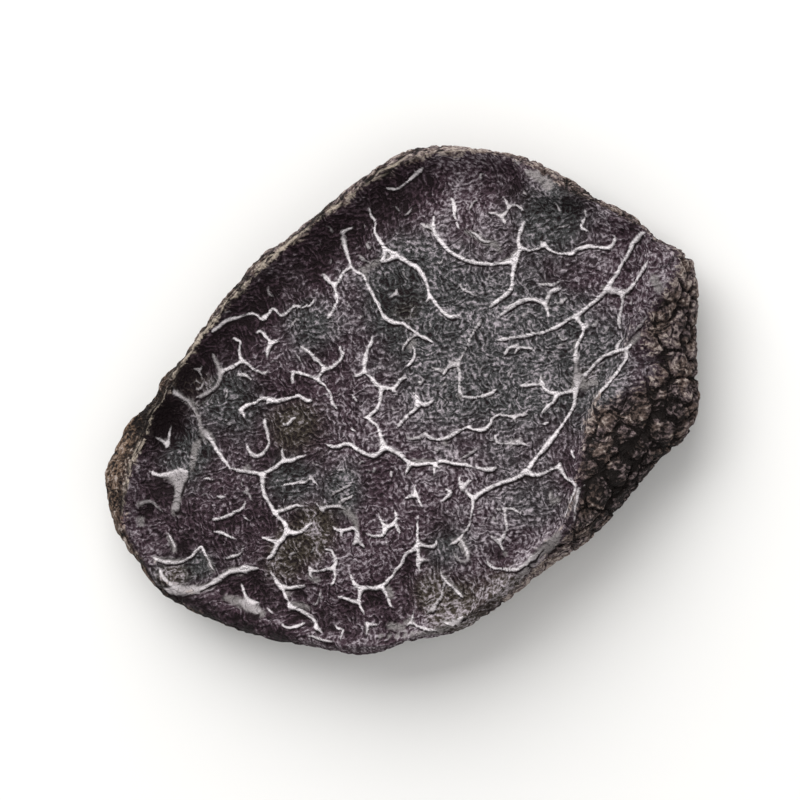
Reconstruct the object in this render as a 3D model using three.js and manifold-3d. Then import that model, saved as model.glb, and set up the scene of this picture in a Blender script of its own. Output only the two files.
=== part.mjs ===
// A dried slice of black truffle: marbled flesh inside a ring of warty skin.
// Millimetres, +Z up. The slice lies with its cut face up, its middle is over the origin, and a
// small flat spot of its underside rests at z = 0.

import * as THREE from 'three';
import { mergeVertices } from 'three/addons/utils/BufferGeometryUtils.js';
import Module from 'manifold-3d';

// Body of the slice.
const FACE_HEIGHT = 5.1; // height of the cut face at the middle
const FACE_SLOPE = 0.05; // the slice was cut thicker towards +X
const FACE_CURL = 0.5; // drying lifts the edge of the cut face
const UNDERSIDE_RISE = 1.5; // drying lifts the edge of the underside
const UNDERSIDE_INSET = 1.6; // the underside ends this far inside the widest part of the flank
const FLANK_LEVEL = 0.45; // where the flank is widest, as a share of its height
const FLAT_RADIUS = 5.5; // small flat spot that the slice rests on
const FLAT_DEPTH = 0.1; // how much of the rounded underside the spot takes off
const BOWL_POWER = 1.4; // the underside rises more steeply towards its edge

// Lip of skin round the cut face, and the dried-in trough beside it.
const LIP_WIDTH = 0.65;
const LIP_HEIGHT = 0.65;
const TROUGH_WIDTH = 1.8;
const TROUGH_DEPTH = 0.9;
const TROUGH_BEARING = THREE.MathUtils.degToRad(125); // the trough is deepest on this side
const TROUGH_LEAST = 0.35; // depth of the trough on the other side, as a share

// Relief.
const WART_SIZE = 1.9;
const WART_HEIGHT = 0.42;
const WART_CREASE = 0.15; // width of the creases, as a share of a wart
const WART_DOME = 0.25; // how much lower a wart is towards its edge, as a share
const WART_SCATTER = 0.8; // how freely the warts are placed, as a share of a wart
const WART_UNEVEN = 0.3; // how much the warts differ in size, as a share
const WARP_SIZE = 1.1; // the edges of the warts are wavy: length and height of a wave
const WARP_HEIGHT = 0.32;
const WART_LEVEL = 0.75; // the share of a wart's height that lies on the flank's own line
const WART_BEARING = THREE.MathUtils.degToRad(-5); // the warts are highest on this side
const WART_LEAST = 0.4; // height of the warts on the other side, as a share
const WART_EDGE = 0.35; // height of the warts by the lip and the underside, as a share
const SWELL_SIZE = 7.5;
const SWELL_HEIGHT = 0.42;
const SWELL_MIDDLE = 0.4; // height of the swellings in the middle of the face, as a share
const WRINKLE_SIZE = 2.6;
const WRINKLE_HEIGHT = 0.2;
const VEIN_RADIUS = 0.3;
const VEIN_SINK = 0.1; // the axis of a vein lies this far under the face
const VEIN_SIDES = 4;
const VEIN_PITCH = 1.4; // length of one stretch of a vein

// Mesh.
const MESH_DETAIL = 18;
const FACE_SHARE = 0.5; // the ball's cap above this z becomes the cut face
const UNDERSIDE_SHARE = -0.74; // the cap below this z becomes the underside
const OUTLINE_SAMPLES = 720;
const FLOOR_SIDE = 60; // side and depth of the block that cuts the resting spot flat
const FLOOR_DEPTH = 10;

// The outlines and veins are drawn on a grid of fine steps, x to the right and y down, as seen
// from a slant: the eye stands DRAWING_TILT off the vertical, towards +X.
const DRAWING_STEP = 0.13;
const DRAWING_TILT = THREE.MathUtils.degToRad(20);
const DRAWING_MIDDLE = { x: 222, y: 166 };
const DRAWING_LEVEL = 3; // height at which the middle of the drawing is over the origin

// Widest line of the flank.
const FLANK_OUTLINE = `69,202 73,192 79,179 88,171 94,165 99,155 113,141 122,127 134,112 152,91
  168,81 191,62 213,46 235,35 262,36 288,41 309,51 325,62 343,71 358,84 372,92 376,110 375,130
  376,155 377,168 370,185 355,198 335,222 318,240 300,252 283,266 268,277 252,286 228,291
  205,298 178,294 150,289 122,279 100,267 87,251 77,236 70,215`;

// Edge of the cut face.
const FACE_OUTLINE = `85,198 91,176 100,165 105,153 115,140 130,122 145,105 162,90 180,76 198,61
  216,48 238,39 262,38 283,42 300,60 318,62 335,72 350,80 352,108 340,139 332,155 323,172
  319,191 317,209 311,228 297,243 281,259 262,276 237,287 205,294 176,288 152,282 128,272
  106,264 95,252 85,237 82,218`;

// Hollows and humps of the cut face: place on the grid, radius and height.
const FACE_SWELLS = [
  { at: '95,182', radius: 1.8, height: -0.8 },
  { at: '240,53', radius: 1.7, height: -0.4 },
  { at: '259,53', radius: 1.9, height: -0.5 },
  { at: '279,59', radius: 1.8, height: -0.4 },
  { at: '120,176', radius: 1.5, height: 0.35 },
  { at: '190,263', radius: 1.6, height: 0.4 },
  { at: '216,243', radius: 1.5, height: 0.35 },
  { at: '239,274', radius: 1.5, height: 0.4 },
  { at: '206,281', radius: 1.3, height: 0.3 },
  { at: '222,261', radius: 1.3, height: -0.35 },
  { at: '176,240', radius: 1.6, height: -0.35 },
  { at: '250,252', radius: 1.6, height: 0.3 },
  { at: '300,205', radius: 2.2, height: 0.3 },
];

// The main veins of the cut face.
const VEINS = [
  '191,80 195,92 200,100 209,114 219,126 228,130 239,136',
  '205,66 209,77 215,88 225,93 236,103 240,116 254,123',
  '239,70 241,82 254,93 268,96 281,94',
  '281,94 284,88 296,87 308,91 320,87 332,85',
  '281,94 280,104 276,112 268,118',
  '348,79 339,89 334,102 325,113 306,126 288,133 272,134',
  '328,109 338,110 347,99',
  '312,123 317,130 312,142 314,157 311,168 302,184 291,198 276,208 260,215',
  '314,157 305,162 294,158 283,159',
  '317,153 325,145 338,139 344,133 349,124',
  '286,203 297,203 303,201 308,207',
  '260,215 259,228 253,238 257,247',
  '263,127 258,136 251,147 237,149',
  '251,147 252,160 263,164 271,160',
  '184,188 194,188 202,193 213,192 226,197 240,199 255,199 271,201',
  '213,192 210,180 206,175 211,163 219,160 225,153',
  '213,160 204,151 207,138 207,132',
  '100,158 112,167 119,181 128,195 139,203 150,205',
  '150,205 162,197 174,194',
  '150,205 153,219 163,234 157,243 153,249',
  '121,184 114,196 112,203 100,205 90,203',
  '107,208 105,216 104,224',
  '127,128 141,122 150,123 158,121 171,117',
  '124,142 128,151 140,146 154,152',
  '170,138 177,144 184,150 192,143',
  '184,150 170,152 166,158',
  '139,171 150,165 163,165 172,165',
  '236,183 246,186 258,180 270,176 280,175 288,172',
  '231,230 231,240 222,251 213,262 201,266 203,277',
  '114,262 127,260 138,253 148,253',
  '97,252 110,250 118,242 123,250',
  '153,255 163,268 173,276 181,285',
  '205,234 213,236 220,227',
  '265,246 278,252 288,247 299,237',
  '268,234 276,235 276,223 284,224',
];

const FLESH = new THREE.MeshStandardMaterial({ color: 0x5a5052, roughness: 0.85, metalness: 0 });

const wasm = await Module();
wasm.setup();

// A repeatable number from 0 to 1 for a cell of a lattice.
function lattice(ix, iy, iz, salt) {
  let h = Math.imul(ix, 73856093) ^ Math.imul(iy, 19349663);
  h ^= Math.imul(iz, 83492791) ^ Math.imul(salt, 40503);
  h = Math.imul(h ^ (h >>> 15), 0x85ebca6b);
  h = Math.imul(h ^ (h >>> 13), 0xc2b2ae35);
  return ((h ^ (h >>> 16)) >>> 0) / 4294967296;
}

// Smooth noise from -1 to 1 at a place, with swellings of the given size.
function softNoise(place, size, salt) {
  const p = place.clone().divideScalar(size);
  const cell = p.clone().floor();
  const share = p.sub(cell);
  const ease = (t) => t * t * (3 - 2 * t);
  const weights = [ease(share.x), ease(share.y), ease(share.z)];
  let sum = 0;
  for (let corner = 0; corner < 8; corner += 1) {
    const [i, j, k] = [corner & 1, (corner >> 1) & 1, corner >> 2];
    const wx = i ? weights[0] : 1 - weights[0];
    const wy = j ? weights[1] : 1 - weights[1];
    const wz = k ? weights[2] : 1 - weights[2];
    sum += wx * wy * wz * lattice(cell.x + i, cell.y + j, cell.z + k, salt);
  }
  return 2 * sum - 1;
}

// Middle of the wart that grows in a cell of the lattice, in wart sizes.
function wartMiddle(ix, iy, iz) {
  const margin = (1 - WART_SCATTER) / 2;
  const draws = [1, 2, 3].map((salt) => lattice(ix, iy, iz, salt) * WART_SCATTER + margin);
  return new THREE.Vector3(ix + draws[0], iy + draws[1], iz + draws[2]);
}

// Height from 0 to 1 of a skin of packed domes with creases between them.
function wartProfile(place) {
  const shift = [11, 12, 13].map((salt) => WARP_HEIGHT * softNoise(place, WARP_SIZE, salt));
  const p = new THREE.Vector3(...shift).add(place).divideScalar(WART_SIZE);
  const cell = p.clone().floor();
  let nearest = Infinity;
  let second = Infinity;
  for (let n = 0; n < 27; n += 1) {
    const ix = cell.x + (n % 3) - 1;
    const iy = cell.y + (Math.floor(n / 3) % 3) - 1;
    const iz = cell.z + Math.floor(n / 9) - 1;
    const distance = wartMiddle(ix, iy, iz).distanceTo(p) + WART_UNEVEN * lattice(ix, iy, iz, 4);
    second = Math.min(second, Math.max(distance, nearest));
    nearest = Math.min(nearest, distance);
  }
  const shoulder = THREE.MathUtils.smoothstep(second - nearest, 0, WART_CREASE);
  return shoulder * (1 - WART_DOME * nearest * nearest);
}

// A drawn point, with the height that it is seen at, in plan.
function fromDrawing(text, height) {
  const [gx, gy] = text.split(',').map(Number);
  const across = (gx - DRAWING_MIDDLE.x) * DRAWING_STEP;
  const lean = (height - DRAWING_LEVEL) * Math.sin(DRAWING_TILT);
  const x = (across + lean) / Math.cos(DRAWING_TILT);
  return new THREE.Vector3(x, (DRAWING_MIDDLE.y - gy) * DRAWING_STEP, 0);
}

// A drawn point that lies on the sloping cut face, in plan.
function onFace(text) {
  let point = fromDrawing(text, FACE_HEIGHT);
  for (let pass = 0; pass < 3; pass += 1) {
    point = fromDrawing(text, FACE_HEIGHT + FACE_SLOPE * point.x);
  }
  return point;
}

// The distance from the middle to a closed outline, as a function of the bearing.
function polarOutline(points) {
  const curve = new THREE.CatmullRomCurve3(points, true, 'catmullrom', 0.5);
  const samples = curve.getPoints(OUTLINE_SAMPLES).slice(1).map((p) => (
    { bearing: Math.atan2(p.y, p.x), reach: Math.hypot(p.x, p.y) }
  ));
  samples.sort((a, b) => a.bearing - b.bearing);
  return (bearing) => {
    let high = samples.findIndex((sample) => sample.bearing >= bearing);
    high = high < 0 ? 0 : high;
    const b = samples[high];
    const a = samples[(high + samples.length - 1) % samples.length];
    const turn = (angle) => THREE.MathUtils.euclideanModulo(angle, 2 * Math.PI);
    const span = turn(b.bearing - a.bearing);
    const share = span > 0 ? turn(bearing - a.bearing) / span : 0;
    return THREE.MathUtils.lerp(a.reach, b.reach, share);
  };
}

const words = (text) => text.split(/\s+/);
const faceReach = polarOutline(words(FACE_OUTLINE).map(onFace));
const flankReach = polarOutline(words(FLANK_OUTLINE).map((text) => fromDrawing(text, DRAWING_LEVEL)));
const swells = FACE_SWELLS.map((swell) => ({ ...swell, centre: onFace(swell.at) }));

// Height of the cut face at a place that lies at a share of the way from the middle to its edge.
function faceHeight(place, share) {
  const bearing = Math.atan2(place.y, place.x);
  const inside = (1 - share) * faceReach(bearing);
  const lip = LIP_HEIGHT * Math.exp(-((inside / LIP_WIDTH) ** 2));
  const facing = THREE.MathUtils.lerp(TROUGH_LEAST, 1, Math.max(0, Math.cos(bearing - TROUGH_BEARING)));
  const trough = TROUGH_DEPTH * facing * Math.exp(-(((inside - TROUGH_WIDTH) / TROUGH_WIDTH) ** 2));
  const soft = SWELL_HEIGHT * softNoise(place, SWELL_SIZE, 4) * THREE.MathUtils.lerp(SWELL_MIDDLE, 1, share);
  const wrinkle = WRINKLE_HEIGHT * softNoise(place, WRINKLE_SIZE, 5);
  let height = FACE_HEIGHT + FACE_SLOPE * place.x + FACE_CURL * share * share;
  height += lip - trough + soft + wrinkle;
  for (const swell of swells) {
    height += swell.height * Math.exp(-((place.distanceTo(swell.centre) / swell.radius) ** 2));
  }
  return height;
}

// Height of the underside: a shallow bowl whose middle reaches just under the resting level.
function undersideHeight(place, share) {
  const reach = place.length() / Math.max(share, 1e-6);
  const flat = FLAT_RADIUS / reach;
  const bend = Math.max(0, (share - flat) / (1 - flat));
  const wrinkle = WRINKLE_HEIGHT * softNoise(place, WRINKLE_SIZE, 6);
  const soft = SWELL_HEIGHT * softNoise(place, SWELL_SIZE, 7);
  const rough = (wrinkle + soft) * Math.min(1, 3 * bend);
  return UNDERSIDE_RISE * bend ** BOWL_POWER + rough - FLAT_DEPTH * (1 - Math.min(1, 2 * bend));
}

// A point of the cut face.
function facePoint(bearing, share) {
  const reach = faceReach(bearing) * share;
  const place = new THREE.Vector3(reach * Math.cos(bearing), reach * Math.sin(bearing), 0);
  place.z = faceHeight(place.clone(), share);
  return place;
}

// A point of the underside.
function undersidePoint(bearing, share) {
  const reach = (flankReach(bearing) - UNDERSIDE_INSET) * share;
  const place = new THREE.Vector3(reach * Math.cos(bearing), reach * Math.sin(bearing), 0);
  place.z = undersideHeight(place.clone(), share);
  return place;
}

// A point of the flank, a share of the way down from the lip to the underside.
function flankPoint(bearing, share) {
  const top = facePoint(bearing, 1);
  const foot = undersidePoint(bearing, 1);
  const out = new THREE.Vector3(Math.cos(bearing), Math.sin(bearing), 0);
  const level = THREE.MathUtils.lerp(foot.z, top.z, FLANK_LEVEL);
  const upper = share < 0.5;
  const end = upper ? top : foot;
  const turn = (upper ? share : 1 - share) * Math.PI;
  const endReach = Math.hypot(end.x, end.y);
  const reach = endReach + (flankReach(bearing) - endReach) * Math.sin(turn);
  const place = out.clone().multiplyScalar(reach).setZ(level + (end.z - level) * Math.cos(turn));
  const outward = out.clone().multiplyScalar(Math.sin(turn)).setZ(Math.cos(turn) * (upper ? 1 : -1));
  const facing = THREE.MathUtils.lerp(WART_LEAST, 1, Math.max(0, Math.cos(bearing - WART_BEARING)));
  const fade = facing * THREE.MathUtils.lerp(WART_EDGE, 1, Math.sin(Math.PI * share));
  const wart = WART_HEIGHT * fade * (wartProfile(place) - WART_LEVEL);
  return place.addScaledVector(outward.normalize(), wart);
}

// Where a point of the unit ball goes on the slice.
function placeOnSlice(ball) {
  const bearing = Math.atan2(ball.y, ball.x);
  if (ball.z > FACE_SHARE) return facePoint(bearing, Math.sqrt((1 - ball.z) / (1 - FACE_SHARE)));
  if (ball.z < UNDERSIDE_SHARE) {
    return undersidePoint(bearing, Math.sqrt((1 + ball.z) / (1 + UNDERSIDE_SHARE)));
  }
  return flankPoint(bearing, (FACE_SHARE - ball.z) / (FACE_SHARE - UNDERSIDE_SHARE));
}

// Closed body of the slice with its lip, hollows and warts.
function sliceGeometry() {
  const geometry = new THREE.IcosahedronGeometry(1, MESH_DETAIL);
  const position = geometry.getAttribute('position');
  const point = new THREE.Vector3();
  for (let i = 0; i < position.count; i += 1) {
    const placed = placeOnSlice(point.fromBufferAttribute(position, i).normalize());
    position.setXYZ(i, placed.x, placed.y, placed.z);
  }
  return geometry;
}

// A raised vein: a slim tube along a drawn path, most of it sunk in the face.
function veinGeometry(text) {
  const drawn = new THREE.CatmullRomCurve3(words(text).map(onFace), false, 'centripetal');
  const steps = Math.max(2, Math.round(drawn.getLength() / VEIN_PITCH));
  const points = drawn.getSpacedPoints(steps).map((p) => {
    const share = Math.min(1, p.length() / faceReach(Math.atan2(p.y, p.x)));
    return p.setZ(faceHeight(p.clone(), share) - VEIN_SINK);
  });
  const section = new THREE.Shape();
  for (let side = 0; side < VEIN_SIDES; side += 1) {
    const angle = (2 * Math.PI * side) / VEIN_SIDES;
    const corner = [VEIN_RADIUS * Math.cos(angle), VEIN_RADIUS * Math.sin(angle)];
    if (side === 0) section.moveTo(...corner);
    else section.lineTo(...corner);
  }
  const path = new THREE.CatmullRomCurve3(points, false, 'centripetal');
  return new THREE.ExtrudeGeometry(section, { steps, extrudePath: path, bevelEnabled: false });
}

// A closed geometry as a solid for joining and cutting.
function solidOf(geometry) {
  const bare = geometry.clone();
  bare.deleteAttribute('normal');
  bare.deleteAttribute('uv');
  const merged = mergeVertices(bare, 1e-5);
  const vertProperties = Float32Array.from(merged.getAttribute('position').array);
  const triVerts = Uint32Array.from(merged.getIndex().array);
  return new wasm.Manifold(new wasm.Mesh({ numProp: 3, vertProperties, triVerts }));
}

// A solid as a geometry again.
function geometryOf(solid) {
  const mesh = solid.getMesh();
  const geometry = new THREE.BufferGeometry();
  geometry.setAttribute('position', new THREE.BufferAttribute(mesh.vertProperties, 3));
  geometry.setIndex(new THREE.BufferAttribute(mesh.triVerts, 1));
  geometry.computeVertexNormals();
  return geometry;
}

// The slice with its veins grown on and its resting spot flat.
function buildSlice() {
  let solid = solidOf(sliceGeometry());
  for (const vein of VEINS) solid = solid.add(solidOf(veinGeometry(vein)));
  const block = new THREE.BoxGeometry(FLOOR_SIDE, FLOOR_SIDE, FLOOR_DEPTH).translate(0, 0, -FLOOR_DEPTH / 2);
  solid = solid.subtract(solidOf(block));
  const mesh = new THREE.Mesh(geometryOf(solid), FLESH);
  mesh.name = 'truffle_slice';
  return mesh;
}

const group = new THREE.Group();
group.add(buildSlice());
export default group;
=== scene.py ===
"""Looks of a dried slice of black truffle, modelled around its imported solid.

The slice is one piece: marbled flesh inside a ring of warty skin. Its mesh starts as a ball of even
triangles. The ball is refined where veins run and then laid out on the slice's own form, which
repeats the sizes and the lattice noise of the solid, so that lip, hollows and warts fall in the
same places. All lengths are in metres.
"""

import logging
import math
import random
from dataclasses import dataclass, field
from enum import Enum, IntEnum

import bpy
import numpy as np
from mathutils import Matrix, Vector
from mathutils.kdtree import KDTree


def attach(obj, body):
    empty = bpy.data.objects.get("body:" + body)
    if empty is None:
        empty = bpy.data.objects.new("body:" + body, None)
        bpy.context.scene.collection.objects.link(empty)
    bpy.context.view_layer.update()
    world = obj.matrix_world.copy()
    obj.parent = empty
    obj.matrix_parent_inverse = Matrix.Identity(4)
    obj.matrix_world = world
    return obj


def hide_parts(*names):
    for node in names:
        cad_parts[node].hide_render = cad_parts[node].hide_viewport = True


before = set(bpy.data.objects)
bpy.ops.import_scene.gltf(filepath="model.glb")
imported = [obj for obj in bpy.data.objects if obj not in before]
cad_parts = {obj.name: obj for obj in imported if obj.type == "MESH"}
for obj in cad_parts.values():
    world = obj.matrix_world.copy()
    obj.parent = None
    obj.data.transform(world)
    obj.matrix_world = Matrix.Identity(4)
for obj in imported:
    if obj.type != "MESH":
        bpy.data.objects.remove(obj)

LOG = logging.getLogger("truffle")
MM = 0.001
NODE = "truffle_slice"

# Factors of the lattice's hash, which is the solid's own.
AXIS_FACTORS = (73856093, 19349663, 83492791)
SALT_FACTOR = 40503
MIX_FACTORS = (0x85EBCA6B, 0xC2B2AE35)
WORD_MASK = 0xFFFFFFFF

# How domes are packed: free play of a middle in its cell, and how much domes differ in size.
DOME_SCATTER = 0.8
DOME_UNEVEN = 0.3
FAR_OFF = 9.0

# Widest line of the flank, on the drawing grid.
FLANK_OUTLINE = """69,202 73,192 79,179 88,171 94,165 99,155 113,141 122,127 134,112 152,91
  168,81 191,62 213,46 235,35 262,36 288,41 309,51 325,62 343,71 358,84 372,92 376,110 375,130
  376,155 377,168 370,185 355,198 335,222 318,240 300,252 283,266 268,277 252,286 228,291
  205,298 178,294 150,289 122,279 100,267 87,251 77,236 70,215"""

# Edge of the cut face, on the drawing grid.
FACE_OUTLINE = """85,198 91,176 100,165 105,153 115,140 130,122 145,105 162,90 180,76 198,61
  216,48 238,39 262,38 283,42 300,60 318,62 335,72 350,80 352,108 340,139 332,155 323,172
  319,191 317,209 311,228 297,243 281,259 262,276 237,287 205,294 176,288 152,282 128,272
  106,264 95,252 85,237 82,218"""

# Veins of the cut face, each a path on the drawing grid, where a row indented further runs on.
# Bands are the widest, traces the faintest.
BANDS = """
  98,264.8 104,266 109,265.6 114,264.6 119,264 124,262 128,259 131,256.6 134.5,254.9 139,254.2 143,254
"""

WEBS = """
  101,205.6 106,206.5 111,205.8
  106,206 106.8,209 106.3,214 105.4,219 104.5,223.5
  138.5,270.6 143,272.6 148.5,276
  312,158.5 314.5,157 316.5,155.5
  104,265.6 109,265.6 114,264.6
"""

DULLS = """
  100.5,157 104,161.5 108.3,165 112.7,168.3 115,172 117.2,176.5 118.7,180.7 121,184
  128.2,151.3 128,155 126.5,158.5 123.5,161.4 119,163.4 115.3,164.8
  124.2,141.5 126,145.5 127.4,149.3 128.5,151
  86.3,220.6 88.3,219.2 92,219.3 95,221.5 98.3,224.4
  312.2,146 312.5,151 313.5,155.5
"""

TRUNKS = """
  192.3,81 193.7,87 195.3,92 196.8,97 200,99.8 203,101.5 204.8,105.5 206.8,110 209.3,114.5 211.5,119
    214,123 217.5,125.5 221,126 224.7,127.2 227.7,129.8 231,132 235,134.3 239.5,136.5
  206,66 207.3,70 209.2,74.5 209,79 211.5,83.5 214.5,87.8 220,91 225,94 229.7,96.7 233,99.8
    234.7,103 235.7,106.5 236.7,110 238.5,113 241,116.5 243.5,120 246.5,122.2 250,122.8 254,122.5
  239.4,69.5 239.3,74 239.5,78.5 242.3,83.3 246,87.5 250,90.7 255,93.2 261,95 268,96 275,95.5 281,93.5
  281,93.5 284,88 288,88.8 292,88.6 295,87 296.8,84.5
  296.5,86.3 300,89.3 305,90.4 310,90.2 314,88 319,86.8 325,87.3 328.7,88 331.3,85.8 332.5,83 331.5,80.5
  281,93.5 280.4,98 280,103 279.7,107 278,110.3 274.5,113 270.5,116 268,119
  348.7,79 345.5,81 342,84.3 340.3,88.5 338,92.5 336,96 333.7,100 331,104.5 328,108.8 325,112.7
    321,116 316.5,119.5 313,122.5 308,125 302.5,128.5 297,131 290,132.3 283,133.1 277,134.3
    271.5,134.7
  328.7,109.5 332.5,110.3 337.5,110.5 340.8,108.2 342.8,105 345,101.5 346.8,98.5 349,94.5
  312.5,123 314.3,126 316.5,128.5 315.7,132.5 314,136.5 312.7,141 312.1,146
  313.5,155.5 313,160 312.2,163.5 311.6,167.5 310,171.5 307,176.3 303.5,181 300,186 296,191
    292.5,195.3 290,199 286.5,202.7 281,206.3 275,208.5 269,211 264,213.8 260,216.3
  317,153.8 320.5,149.6 324.5,145.6 328.5,142.7 333,140.9 337,140 341,137
  183.5,188 186.5,190 190,190 193.3,188.4 196.7,189 200,191.5 204,194 207.8,195 211,193.3 214,191.2
    218.5,192.3 222.5,195 226,197.8 228,198.8 234,198.9 240,198.8 243,197.8 247,198 250.5,198.9
    255,199 260,200.4 265,201.6 269,201.6 272.5,200.3
  213.6,191 212.8,188 211.8,184 210.3,180.3 207.5,177.6 205.4,175 207.5,172.7 210.5,169.7
    212.2,166.5 212,163 212.7,160.2 216,160 218.5,160.2 220.5,158 222.3,155.7 225.7,154
  212.6,160.3 210,158.3 207.3,154.8 204,152 203.8,148.5 204.3,143 205.7,139 207.3,135.5 207.2,131
  121,184 124,188 127,192 130,196.8 133,200.5 136.3,202.5 141,203 145.5,203.5 150.2,204.7
    153.5,202.8 157,200.7 161.7,197.5 166,197 170,195.5 174,193.7
  150.3,205 150.4,209 151,213.5 152.6,217.5 155,221.3 157,224.8 159.5,227.7 161.9,230 163,234.3
    161.2,238 158.3,240.5 156.8,243.8 155,247 152.8,248.6
  140,253.4 144,253.3 148.3,253.5
  231.3,240 229.3,243 225.8,244.8 223.4,247.5 222,251.3 219.5,254.8 217,257.8 215,260.7 212.3,262.2
    209.3,263.2 205,263.5 202,264.3 201,267.3 201,271 202.2,274.5 203.6,277.3
"""

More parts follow.
